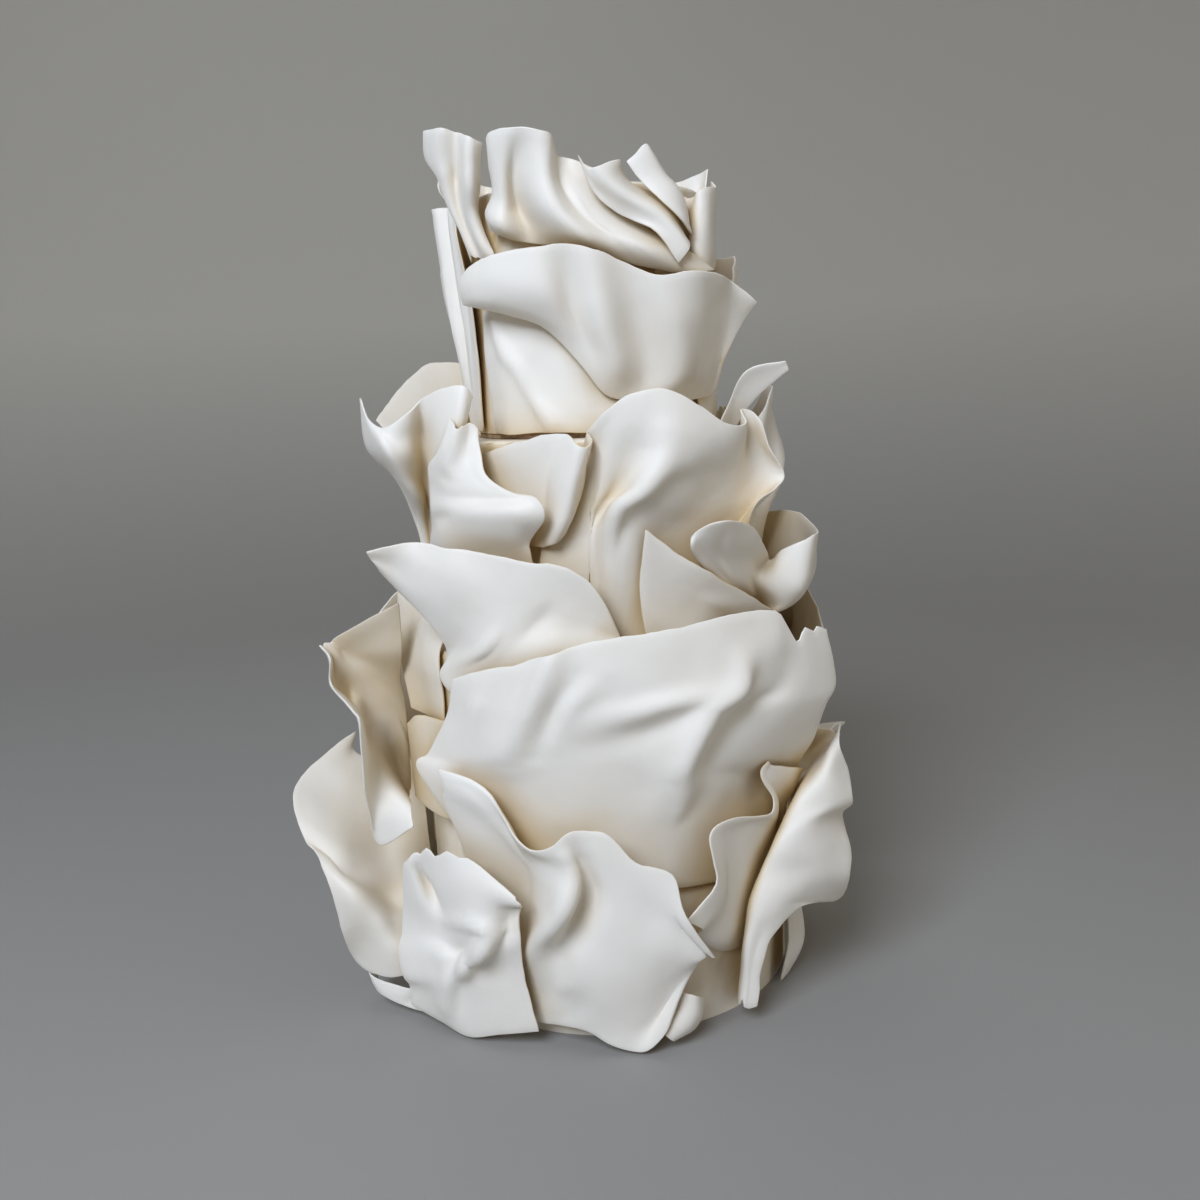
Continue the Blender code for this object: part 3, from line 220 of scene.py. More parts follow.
def sample_table(grid):
    """Weights that spread sample points evenly over the facets of a grid."""
    rows, columns = grid.shape[:2]
    wide = np.linalg.norm(np.diff(grid, axis=1), axis=2).max()
    high = np.linalg.norm(np.diff(grid, axis=0), axis=2).max()
    steps = max(2, int(math.ceil(max(wide, high) / SAMPLE_STEP)))
    corners, weights = [], []
    for tri in grid_triangles(rows, columns):
        for i in range(steps + 1):
            for j in range(steps + 1 - i):
                corners.append(tri)
                weights.append((i / steps, j / steps, 1 - (i + j) / steps))
    return np.array(corners), np.array(weights)


def all_facets(grids):
    """Points and facets of several grids in one list each."""
    verts, faces = [], []
    for grid in grids:
        base = len(verts)
        verts.extend(map(tuple, grid.reshape(-1, 3)))
        faces.extend(tuple(base + k for k in tri)
                     for tri in grid_triangles(*grid.shape[:2]))
    return verts, faces


def layer_tree(laid):
    """Search tree over the facets of the sheets that are already on the cake."""
    return BVHTree.FromPolygons(*all_facets(laid))


def shortfall(place, outward, radius, tree):
    """How far a point has to move outwards, or away from the nearest sheet."""
    spot = Vector(place)
    away = Vector((outward[0], outward[1], 0.0))
    far = Vector((0.0, 0.0, place[2])) + away * FAR_OUT
    where = tree.ray_cast(far, -away, FAR_OUT)[0]
    close = False
    if where is not None:
        lack = math.hypot(where.x, where.y) + LAYER_PITCH - radius
        close = lack > -NEAR_LIMIT
        if lack > 0.0:
            return lack, None, True
    where, _, _, dist = tree.find_nearest(spot, LAYER_PITCH * 4)
    if where is None:
        return 0.0, None, close
    if dist >= LAYER_PITCH or dist < 1e-6:
        return 0.0, None, True
    step = (spot - where) / dist
    lack = LAYER_PITCH - dist
    slope = step.dot(away)
    if slope > LEAST_SLOPE:
        return lack / slope, None, True
    return 0.0, step * lack, True


def settle(grid, laid):
    """Push a sheet outwards until it clears the cake and the sheets under it."""
    rows, columns = grid.shape[:2]
    points = grid.reshape(-1, 3).copy()
    corners, weights = sample_table(grid)
    tree = layer_tree(laid) if laid else None
    active = np.arange(len(corners))
    fade_u, fade_v = (math.exp(-step / PUSH_REACH) for step in cell_size(grid))
    for turn in range(SETTLE_ROUNDS):
        places = (points[corners[active]] * weights[active][..., None]).sum(1)
        radius = np.hypot(places[:, 0], places[:, 1])
        outward = places[:, :2] / np.maximum(radius, 1e-6)[:, None]
        push = np.maximum(0.0, wall_radius(places[:, 2]) + WALL_PITCH - radius)
        near = push > 0
        steps = {}
        if tree is not None:
            for k in range(len(active)):
                lack, step, close = shortfall(places[k], outward[k], radius[k], tree)
                push[k] = max(push[k], lack)
                near[k] |= close
                if step is not None:
                    steps[k] = np.array(step)
        if push.max() < SETTLED and not steps:
            break
        out = np.zeros(len(points))
        share = weights[active] > CORNER_SHARE
        for c in range(3):
            picked = share[:, c]
            np.maximum.at(out, corners[active][picked, c],
                          (push * np.minimum(1.0, 0.5 + weights[active][:, c]))[picked])
        out = out.reshape(rows, columns)
        for _ in range(PUSH_SPREADS):
            out[1:] = np.maximum(out[1:], out[:-1] * fade_v)
            out[:-1] = np.maximum(out[:-1], out[1:] * fade_v)
            out[:, 1:] = np.maximum(out[:, 1:], out[:, :-1] * fade_u)
            out[:, :-1] = np.maximum(out[:, :-1], out[:, 1:] * fade_u)
        span = np.hypot(points[:, 0], points[:, 1])
        points[:, :2] *= (1.0 + out.ravel() / np.maximum(span, 1e-6))[:, None]
        side = np.zeros_like(points)
        most = np.zeros(len(points))
        for k, step in steps.items():
            size = np.linalg.norm(step)
            for corner, weight in zip(corners[active[k]], weights[active[k]]):
                if weight > CORNER_SHARE and size * weight > most[corner]:
                    most[corner] = size * weight
                    side[corner] = step * min(1.0, 0.5 + weight)
        points += side
        if turn == 0:
            grown = np.zeros(len(points), bool)
            grown[corners[near].ravel()] = True
            active = np.arange(len(corners))[grown[corners].any(1)]
            if len(active) == 0:
                break
    return points.reshape(rows, columns, 3)


# The two ways to set a row or column of a grid against the one beside it
BESIDE = ((slice(1, None), slice(None, -1)), (slice(None, -1), slice(1, None)))


def opened(grid, thickness):
    """Ease a sheet where it is bent so tightly that its faces would cross."""
    grid = grid.copy()
    for _ in range(EASE_ROUNDS):
        normal = grid_normals(grid)
        tight = np.zeros(grid.shape[:2], bool)
        for side in (-0.5, 0.5):
            face = grid + normal * (side * thickness)
            for axis in (0, 1):
                run = np.diff(grid, axis=axis)
                kept = (np.diff(face, axis=axis) * run).sum(2)
                bent = kept < LEAST_FACE * (run ** 2).sum(2)
                for here, _ in BESIDE:
                    tight[(slice(None), here) if axis else here] |= bent
        ahead = np.diff(grid, axis=1)
        above = np.diff(grid, axis=0)
        tight[:, 1:-1] |= (ahead[:, 1:] * ahead[:, :-1]).sum(2) < 0
        tight[1:-1] |= (above[1:] * above[:-1]).sum(2) < 0
        twisted = ((ahead[1:] * ahead[:-1]).sum(2) < 0) | (
            (above[:, 1:] * above[:, :-1]).sum(2) < 0)
        tight[1:, 1:] |= twisted
        tight[:-1, :-1] |= twisted
        if not tight.any():
            break
        wide = tight.copy()
        total = np.zeros_like(grid)
        number = np.zeros(grid.shape[:2] + (1,))
        for here, there in BESIDE:
            wide[here] |= tight[there]
            total[here] += grid[there]
            number[here] += 1
        for here, there in BESIDE:
            wide[:, here] |= tight[:, there]
            total[:, here] += grid[:, there]
            number[:, here] += 1
        grid[wide] += EASE_SHARE * (total / number - grid)[wide]
    return grid


def turned(sheet, name, cells, spin, flip=False, lift=0.0, swell=1.0):
    """A sheet like another one, turned round the cake and a little different."""
    rails = []
    for points in sheet["rails"]:
        line = []
        for azimuth, radius, height in points:
            side = -azimuth if flip else azimuth
            wall = float(wall_radius(np.array(height + lift))) + TURNED_OFFSET
            line.append((side + spin, wall + (radius - wall) * swell, height + lift))
        rails.append(line)
    made = dict(sheet)
    made["name"] = name
    made["cells"] = cells
    made["rails"] = rails
    return made


# Sheets of the front half, each from root to rim, seen from left to right
LEFT_PLEATS = {
    "name": "left_pleats", "cells": (10, 3), "rails": [
        [(-120, 80, 384), (-104, 81, 384), (-92, 80, 384), (-84, 82, 384), (-74, 80, 384),
         (-62, 81, 384)],
        [(-120, 82, 455), (-104, 87, 455), (-92, 82, 455), (-84, 90, 456), (-74, 82, 455),
         (-60, 85, 456)],
        [(-120, 84, 520), (-104, 92, 524), (-92, 86, 526), (-84, 96, 528), (-74, 87, 524),
         (-62, 92, 508)]],
    "folds": [
        ([(0.60, 1), (0.62, 0.6), (0.68, 0.2)], 3.5, 4),
        ([(0.80, 1), (0.80, 0.6), (0.84, 0.1)], 3.5, 4),
        ([(0.70, 1), (0.71, 0.6), (0.76, 0.2)], 3.5, -3)]}
FRONT_PANEL = {
    "name": "front_panel", "cells": (6, 3), "rails": [
        [(-49.5, 81, 383), (-39, 82, 382), (-27, 80, 383), (-16, 83, 383), (-1.5, 81, 382),
         (14, 81, 382)],
        [(-55, 81, 423), (-39.5, 84, 422), (-29.5, 82, 422), (-20.5, 80, 420),
         (-7, 81, 417), (14, 80, 425)],
        [(-55.5, 81, 459), (-43, 81, 458), (-31, 81, 457), (-19, 81, 454), (-6, 80, 450),
         (14, 80, 466)]],
    "folds": [
        ([(0.15, 1), (0.17, 0.8), (0.22, 0.64), (0.33, 0.5), (0.44, 0.27), (0.59, 0.05)], 5, 3)]}
MID_DRAPE = {
    "name": "mid_drape", "cells": (15, 5), "rails": [
        [(-50, 100, 463), (-42.5, 98, 460), (-31, 95, 455), (-17, 90, 446), (-4, 86, 424),
         (6, 84, 405), (17, 84, 401), (29.5, 84, 400), (44, 84, 399), (56.5, 84, 400),
         (61.5, 86, 401), (65, 89, 404)],
        [(-49.5, 102, 468), (-39.5, 103, 465), (-28.5, 103, 462), (-14, 98, 452),
         (-2, 89, 436), (9, 95, 422), (23, 86, 417), (35.5, 95, 415), (46.5, 92, 417),
         (54.5, 92, 418), (61, 93, 419), (61, 98, 423)],
        [(-49, 103, 473), (-39.5, 105, 474), (-28, 107, 473), (-13.5, 106, 467),
         (-5.5, 94, 458), (5, 102, 449), (18.5, 91, 447), (30.5, 102, 444), (40, 100, 446),
         (49.5, 99, 447), (57, 102, 449), (61.5, 109, 444)],
        [(-48.5, 103, 479), (-40.5, 104, 485), (-29.5, 106, 489), (-16.5, 108, 490),
         (-7, 106, 491), (2, 106, 488), (12.5, 99, 481), (24, 100, 473), (34, 102, 477),
         (45, 103, 476), (52, 107, 471), (58.5, 122, 457)]]}
CROWN_LEFT = {
    "name": "crown_left", "cells": (8, 5), "rails": [
        [(-59.5, 84, 490), (-55.5, 84, 490), (-53.5, 82, 491), (-46.5, 84, 491),
         (-42.5, 83, 491)],
        [(-61, 90, 506), (-57.5, 89, 506), (-59, 84, 506), (-48.5, 89, 505), (-48, 84, 507)],
        [(-63, 97, 524), (-59, 95, 523), (-61.5, 88, 522), (-48, 94, 519), (-49.5, 86, 520)],
        [(-64, 101, 542), (-58.5, 99, 539), (-59.5, 91, 538), (-46, 97, 533),
         (-45.5, 88, 534)],
        [(-68.5, 105, 555), (-58.5, 102, 552), (-55.5, 93, 551), (-44.5, 98, 547),
         (-43.5, 89, 547)],
        [(-65, 107, 569), (-55, 104, 567), (-52.5, 95, 565), (-43, 99, 560),
         (-41.5, 90, 557)]]}
CROWN_CENTRE = {
    "name": "crown_centre", "cells": (14, 5), "rails": [
        [(-42.5, 86, 507), (-36, 88, 503), (-29.5, 86, 499), (-24, 80, 497),
         (-12, 84, 494), (1.5, 88, 489), (10.5, 86, 485), (19, 86, 481), (26.5, 86, 478),
         (35.5, 86, 476), (45, 86, 478)],
        [(-43, 88, 517), (-37, 93, 511), (-30.5, 94, 507), (-25, 81, 507), (-13, 92, 503),
         (-1.5, 99, 497), (4.5, 95, 496), (10, 92, 494), (16, 92, 491), (23, 92, 489),
         (33.5, 88, 490)],
        [(-38.5, 88, 527), (-34.5, 92, 524), (-30.5, 92, 520), (-28.5, 82, 519),
         (-16, 97, 516), (-9, 101, 513), (-5, 94, 511), (-1.5, 90, 509), (3, 89, 506),
         (8, 88, 502), (20, 84, 506)],
        [(-37, 92, 543), (-32.5, 96, 541), (-28.5, 96, 538), (-28, 88, 535),
         (-18, 98, 533), (-12.5, 100, 532), (-10.5, 94, 530), (-9, 87, 528),
         (-4.5, 86, 527), (0.5, 86, 519), (14, 84, 520)],
        [(-36, 95, 557), (-32.5, 99, 559), (-25, 103, 559), (-19, 104, 558),
         (-13, 103, 556), (-10.5, 99, 555), (-10, 93, 551), (-10, 86, 545),
         (-6.5, 84, 543), (-2, 84, 541), (8, 84, 534)]]}
CROWN_RIGHT = {
    "name": "crown_right", "cells": (6, 5), "rails": [
        [(31, 84, 480), (32, 86, 483), (33.5, 88, 487), (35, 90, 491), (36.5, 89, 495),
         (38, 87, 499), (39, 84, 503)],
        [(23, 86, 499), (24.5, 88, 501), (25, 93, 504), (26.5, 96, 507), (29.5, 94, 511),
         (34, 90, 514), (38, 86, 516)],
        [(11.5, 88, 511), (12.5, 90, 513), (13.5, 95, 515), (14, 99, 517), (16, 97, 520),
         (18.5, 92, 522), (20.5, 88, 525)],
        [(3, 92, 524), (5, 92, 524), (6.5, 96, 525), (8, 100, 526), (10.5, 98, 528),
         (13, 94, 530), (15.5, 90, 532)],
        [(-1, 98, 542), (0.5, 97, 537), (2.5, 97, 534), (4.5, 100, 534), (7.5, 99, 536),
         (10.5, 97, 538), (13.5, 94, 539)]]}
CROWN_POINT = {
    "name": "crown_point", "cells": (4, 4), "rails": [
        [(36.5, 86, 497), (37.5, 88, 499), (38.5, 88, 502), (39.5, 87, 505), (40, 85, 508)],
        [(29.5, 88, 508), (31.5, 91, 510), (34, 91, 515), (36, 89, 518), (38, 86, 518)],
        [(22, 90, 522), (24.5, 93, 525), (28.5, 94, 528), (31.5, 92, 529), (35.5, 88, 527)],
        [(14.5, 93, 537), (18.5, 95, 542), (22, 97, 547), (24, 96, 546), (26.5, 93, 542)]]}
ROLL_RIGHT = {
    "name": "roll_right", "cells": (13, 4), "rails": [
        [(30, 84, 474), (39.5, 86, 482), (43.5, 88, 480), (43.5, 92, 478), (40.5, 99, 476),
         (41.5, 104, 475), (45.5, 104, 476), (54.5, 98, 479), (62.5, 91, 484)],
        [(30, 84, 497), (39, 86, 497), (42.5, 88, 494), (44.5, 91, 492), (41, 99, 490),
         (41.5, 104, 490), (46.5, 104, 491), (53.5, 99, 494), (61.5, 92, 499)],
        [(30, 84, 520), (37, 87, 513), (42.5, 88, 509), (44, 91, 508), (41.5, 98, 506),
         (42, 104, 506), (46, 105, 507), (53, 100, 511), (60.5, 93, 516)],
        [(31, 84, 536), (35, 88, 526), (41.5, 88, 523), (44.5, 91, 520), (44.5, 97, 521),
         (41.5, 103, 523), (45, 106, 524), (52, 103, 526), (57.5, 95, 531)]]}
LEFT_BACK_LEAF = {
    "name": "left_back_leaf", "cells": (6, 4), "rails": [
        [(-112, 106, 318), (-118, 106, 316), (-124, 106, 316), (-132, 106, 318),
         (-142, 106, 322)],
        [(-108, 132, 352), (-114, 128, 358), (-122, 124, 366), (-132, 118, 368),
         (-144, 112, 362)],
        [(-108, 166, 392), (-112, 164, 401), (-119, 158, 418), (-127, 150, 431),
         (-138, 130, 428)]]}
LEFT_CUP = {
    "name": "left_cup", "cells": (11, 6), "rails": [
        [(-81.5, 120, 297), (-81.5, 118, 296), (-81.5, 116, 296), (-82, 114, 295),
         (-82, 112, 294), (-72, 112, 297), (-64.5, 113, 298), (-60, 113, 298)],
        [(-81, 125, 324), (-81, 123, 324), (-78.5, 120, 324), (-81.5, 117, 323),
         (-81.5, 115, 323), (-70, 115, 326), (-60.5, 118, 328), (-56.5, 118, 328)],
        [(-80.5, 130, 341), (-69, 129, 343), (-65.5, 127, 343), (-69, 121, 341),
         (-72.5, 117, 340), (-63.5, 118, 341), (-56, 121, 343), (-54, 120, 343)],
        [(-80, 138, 357), (-64.5, 139, 358), (-62, 135, 357), (-65.5, 126, 355),
         (-70, 119, 354), (-60.5, 120, 355), (-53, 123, 356), (-50.5, 121, 356)],
        [(-79, 151, 371), (-60.5, 149, 373), (-59, 144, 372), (-60, 133, 371),
         (-65.5, 121, 369), (-54.5, 122, 370), (-45.5, 125, 372), (-44, 121, 373)],
        [(-79, 155, 384), (-63, 152, 384), (-60, 146, 382), (-59.5, 135, 384),
         (-61.5, 123, 387), (-50.5, 123, 388), (-42, 124, 387), (-41.5, 119, 386)],
        [(-79, 155, 408), (-70.5, 153, 395), (-61.5, 148, 389), (-57.5, 136, 398),
         (-57, 127, 406), (-49, 122, 412), (-41, 119, 413), (-40, 113, 407)]]}
CENTRE_TUBE = {
    "name": "centre_tube", "cells": (12, 5), "rails": [
        [(-31, 106, 320), (-27, 106, 318), (-23, 106, 316), (-20, 106, 315),
         (-17.5, 108, 315), (-16, 111, 316), (-14.5, 114, 317), (-13, 115, 318),
         (-12, 114, 319), (-11.5, 110, 320), (-10, 107, 323)],
        [(-34.5, 105, 339), (-28.5, 105, 337), (-23, 106, 336), (-18.5, 107, 335),
         (-16, 109, 334), (-14, 114, 334), (-11.5, 119, 334), (-9.5, 121, 334),
         (-8, 120, 334), (-7, 115, 335), (-6.5, 110, 337)],
        [(-38.5, 105, 353), (-30.5, 105, 355), (-24, 106, 356), (-18.5, 108, 357),
         (-15, 109, 357), (-12.5, 114, 357), (-9.5, 120, 357), (-7, 124, 356),
         (-5.5, 124, 355), (-4.5, 119, 354), (-3.5, 113, 354)],
        [(-40.5, 106, 371), (-32.5, 107, 375), (-24, 109, 378), (-16.5, 112, 382),
         (-11, 114, 383), (-8, 117, 383), (-6, 122, 381), (-4, 126, 376), (-2, 124, 375),
         (-0.5, 118, 379), (-1.5, 113, 384)]]}
LEFT_LOBE = {
    "name": "left_front_lobe", "cells": (8, 9), "rails": [
        [(-80.5, 112, 300), (-56, 112, 303), (-42, 112, 302), (-29.5, 112, 302),
         (-20.5, 112, 300)],
        [(-65.5, 116, 315), (-50, 118, 316), (-37.5, 119, 316), (-27.5, 119, 315),
         (-20.5, 117, 312)],
        [(-60.5, 119, 326), (-44.5, 124, 328), (-33.5, 127, 328), (-24, 127, 326),
         (-20, 120, 320)],
        [(-57.5, 121, 335), (-40.5, 128, 338), (-29.5, 132, 339), (-20.5, 134, 339),
         (-14, 128, 335)],
        [(-57, 120, 346), (-43, 123, 346), (-32.5, 125, 345), (-23.5, 128, 346),
         (-16, 129, 347)],
        [(-55.5, 119, 357), (-44, 122, 354), (-35.5, 124, 352), (-28.5, 126, 350),
         (-23, 128, 350)],
        [(-53.5, 118, 366), (-45.5, 120, 364), (-40, 121, 362), (-36, 122, 360),
         (-32, 123, 359)],
        [(-47.5, 117, 375), (-44, 118, 375), (-41, 118, 374), (-38.5, 118, 373),
         (-35.5, 118, 373)],
        [(-42.5, 115, 394), (-41, 115, 393), (-40, 115, 391), (-38.5, 115, 390),
         (-37.5, 115, 387)]]}
RIGHT_BIG = {
    "name": "right_big", "cells": (14, 7), "rails": [
        [(-20, 106, 300), (-4.5, 106, 294), (-3, 106, 287), (-1.5, 106, 281),
         (0.5, 106, 273), (4.5, 106, 260), (13, 106, 254), (22, 106, 252), (34, 106, 256),
         (45, 108, 262), (54, 114, 278)],
        [(-18, 106, 318), (-3.5, 108, 326), (-2, 110, 330), (1, 112, 332), (5.5, 126, 334),
         (10, 122, 325), (18, 113, 314), (28.5, 113, 309), (37.5, 115, 310),
         (45, 122, 315), (43.5, 138, 331)],
        [(-13, 107, 334), (-1, 109, 344), (1.5, 113, 347), (6, 115, 350), (12, 132, 351),
         (17, 132, 345), (28, 120, 335), (37.5, 120, 331), (45.5, 124, 332),
         (50, 132, 336), (49, 146, 344)],
        [(-8, 108, 352), (0, 112, 362), (4, 119, 366), (10, 123, 369), (16.5, 136, 369),
         (24, 137, 363), (35, 127, 353), (43, 126, 350), (49, 128, 352), (51, 136, 356),
         (52, 148, 352)],
        [(-4, 110, 370), (1.5, 118, 379), (6, 126, 385), (12, 132, 388), (18.5, 138, 388),
         (26.5, 139, 379), (36.5, 136, 372), (43.5, 131, 369), (46.5, 128, 374),
         (48.5, 134, 375), (48.5, 143, 369)],
        [(-1.5, 116, 384), (2, 124, 392), (7.5, 130, 402), (13, 135, 406),
         (19.5, 137, 406), (27, 138, 396), (35.5, 139, 384), (42, 137, 384),
         (43.5, 131, 392), (46, 134, 391), (47, 140, 384)]],
    "folds": [
        ([(0.41, 0.75), (0.41, 0.53), (0.43, 0.3), (0.37, 0.17), (0.27, 0.12)], 8, 6),
        ([(0.36, 0.62), (0.33, 0.47), (0.3, 0.23), (0.14, 0.17)], 7, -4),
        ([(0.56, 0.62), (0.5, 0.47), (0.48, 0.3), (0.45, 0.18), (0.32, 0.08)], 7, -5)]}
RIGHT_LEAF = {
    "name": "right_leaf", "cells": (3, 6), "rails": [
        [(46, 106, 376), (50, 106, 374), (56, 106, 372)],
        [(46.5, 116, 395), (49, 115, 390), (52, 114, 381)],
        [(45.5, 132, 415), (47.5, 130, 408), (50, 130, 398)],
        [(51.5, 150, 420), (52, 150, 418), (52.5, 150, 415)]]}
RIGHT_SCROLL = {
    "name": "right_scroll", "cells": (14, 5), "rails": [
        [(37, 112, 291), (41, 109, 280), (49, 107, 267), (64.5, 107, 255),
         (81.5, 115, 245), (62, 108, 252), (70, 108, 252), (82, 107, 256), (96, 107, 262)],
        [(29.5, 122, 303), (34, 119, 296), (42, 116, 287), (52, 115, 277), (62, 118, 268),
         (60, 136, 264), (66, 140, 266), (82, 132, 270), (99, 112, 274)],
        [(25.5, 130, 313), (28, 128, 312), (33, 128, 310), (41.5, 122, 303),
         (54.5, 118, 284), (57, 138, 280), (61, 152, 281), (80, 146, 288), (101, 116, 292)],
        [(26, 130, 320), (26.5, 134, 323), (29, 140, 327), (33.5, 141, 328),
         (46.5, 130, 319), (61, 125, 294), (58, 138, 302), (61, 157, 311), (76, 150, 311),
         (90, 139, 318), (103, 127, 315)]]}
RIGHT_TRIANGLE = {
    "name": "right_triangle", "cells": (5, 4), "rails": [
        [(14.5, 107, 258), (21.5, 107, 254), (36, 107, 255), (55.5, 107, 254),
         (58, 107, 250)],
        [(12.5, 113, 287), (19, 112, 279), (29.5, 114, 277), (40, 117, 269), (59, 120, 254)],
        [(13.5, 124, 325), (21.5, 122, 311), (33.5, 124, 294), (48.5, 127, 275),
         (59, 130, 262)]]}
LEFT_BIG_LEAF = {
    "name": "left_big_leaf", "cells": (12, 6), "rails": [
        [(-54.5, 166, 303), (-54, 153, 287), (-51, 145, 275), (-48, 135, 258),
         (-49, 127, 245), (-52.5, 122, 231), (-45.5, 112, 220), (-29.5, 108, 223),
         (-14.5, 108, 231), (-1, 108, 240), (6.5, 110, 250)],
        [(-53.5, 170, 308), (-52.5, 156, 295), (-47.5, 147, 286), (-42, 139, 277),
         (-37.5, 133, 267), (-32.5, 128, 256), (-26.5, 121, 252), (-17.5, 116, 255),
         (-8.5, 113, 258), (0, 112, 257), (5.5, 113, 255)],
        [(-53.5, 173, 312), (-52, 159, 307), (-45.5, 149, 304), (-38, 142, 298),
         (-32, 136, 292), (-25.5, 131, 286), (-18, 127, 282), (-11.5, 123, 282),
         (-5.5, 120, 278), (1, 118, 269), (5.5, 116, 258)],
        [(-53, 176, 316), (-51, 164, 319), (-47.5, 150, 320), (-40, 143, 317),
         (-33.5, 137, 315), (-26, 134, 312), (-18.5, 132, 309), (-11, 130, 307),
         (-5, 128, 300), (0.5, 124, 285), (5, 118, 262)]],
    "folds": [
        ([(0.46, 0.34), (0.54, 0.31)], 9, 4),
        ([(0.63, 0.72), (0.67, 0.34)], 10, -3)]}
LEFT_TWIST = {
    "name": "left_twist", "cells": (11, 7), "rails": [
        [(-65, 145, 276), (-67.5, 143, 260), (-70, 141, 241), (-76, 139, 223),
         (-80, 139, 204), (-80, 140, 189), (-80, 141, 175), (-80, 141, 160),
         (-80, 141, 146), (-80, 142, 129)],
        [(-76.5, 185, 250), (-77, 178, 244), (-77.5, 171, 237), (-78, 165, 229),
         (-78.5, 159, 217), (-79, 153, 203), (-79.5, 148, 191), (-79.5, 144, 177),
         (-79.5, 143, 157), (-79.5, 143, 130)],
        [(-76.5, 189, 249), (-76.5, 184, 241), (-77, 181, 229), (-77.5, 176, 217),
         (-77.5, 170, 206), (-78, 165, 195), (-78.5, 159, 184), (-79, 155, 170),
         (-79, 150, 152), (-72, 145, 136)],
        [(-76, 193, 247), (-76.5, 187, 237), (-76.5, 187, 220), (-77, 179, 207),
         (-70.5, 175, 204), (-71.5, 172, 195), (-73.5, 169, 183), (-69, 165, 170),
         (-64.5, 160, 158), (-59.5, 152, 146)],
        [(-76, 194, 247), (-76.5, 188, 236), (-76.5, 189, 219), (-67.5, 183, 214),
         (-63, 181, 210), (-61.5, 179, 204), (-62, 177, 187), (-63, 174, 163),
         (-61.5, 168, 143), (-55, 157, 142)],
        [(-76, 195, 247), (-70, 190, 241), (-72.5, 190, 222), (-61.5, 188, 219),
         (-57.5, 187, 215), (-55.5, 186, 209), (-57.5, 184, 181), (-60.5, 180, 150),
         (-63, 172, 117), (-52, 160, 136)]]}
SHADE_PANEL = {
    "name": "left_shade_panel", "cells": (4, 4), "rails": [
        [(-72, 138, 200), (-64, 130, 198), (-54, 129, 198)],
        [(-81, 141, 236), (-68, 129, 234), (-54, 124, 234)],
        [(-84, 140, 275), (-70, 124, 270), (-56, 113, 262)]]}
LEFT_SMALL = {
    "name": "left_small", "cells": (4, 3), "rails": [
        [(-66, 142, 142), (-59, 139, 138), (-52, 136, 136), (-44, 131, 136)],
        [(-70, 142, 191), (-65, 138, 198), (-58, 131, 201), (-48, 130, 200)]]}
LEFT_PETAL = {
    "name": "left_big_petal", "cells": (11, 7), "rails": [
        [(-47, 133, 40), (-52, 133, 46), (-58, 132, 56), (-66, 131, 70), (-74, 131, 86),
         (-82, 131, 102), (-90, 131, 118), (-96, 131, 132), (-100, 131, 146),
         (-104, 131, 160)],
        [(-54.5, 155, 49), (-59, 158, 56), (-62, 160, 64), (-68, 160, 72), (-72, 161, 84),
         (-77, 162, 95), (-82, 162, 106), (-87, 161, 117), (-92, 160, 128), (-97, 158, 139)],
        [(-50.5, 160, 46), (-55.5, 166, 45), (-59, 175, 54), (-60.5, 182, 70),
         (-62, 190, 88), (-66, 192, 99), (-70, 193, 110), (-76, 193, 119), (-84, 192, 129),
         (-90, 188, 141), (-96, 187, 150)],
        [(-50, 161, 43), (-55.5, 167, 31), (-61.5, 180, 27), (-67.5, 191, 32),
         (-65, 200, 60), (-65, 205, 91), (-69, 210, 112), (-74, 217, 123), (-80, 222, 136),
         (-86, 218, 145), (-92, 203, 155), (-98, 188, 164)]],
    "folds": [
        ([(0.6, 1), (0.56, 0.82), (0.48, 0.61), (0.36, 0.43), (0.25, 0.29), (0.13, 0.25)], 8, 4)]}
LEFT_BASE = {
    "name": "left_base_fold", "cells": (6, 3), "rails": [
        [(-44, 134, 4), (-50, 150, 3), (-56, 166, 6), (-63, 180, 12), (-70, 176, 8)],
        [(-46, 140, 22), (-51, 154, 22), (-57, 168, 20), (-65, 183, 22), (-72, 178, 24)]],
    "folds": [([(0.3, 0.9), (0.55, 0.1)], 4.0, -3.0)]}
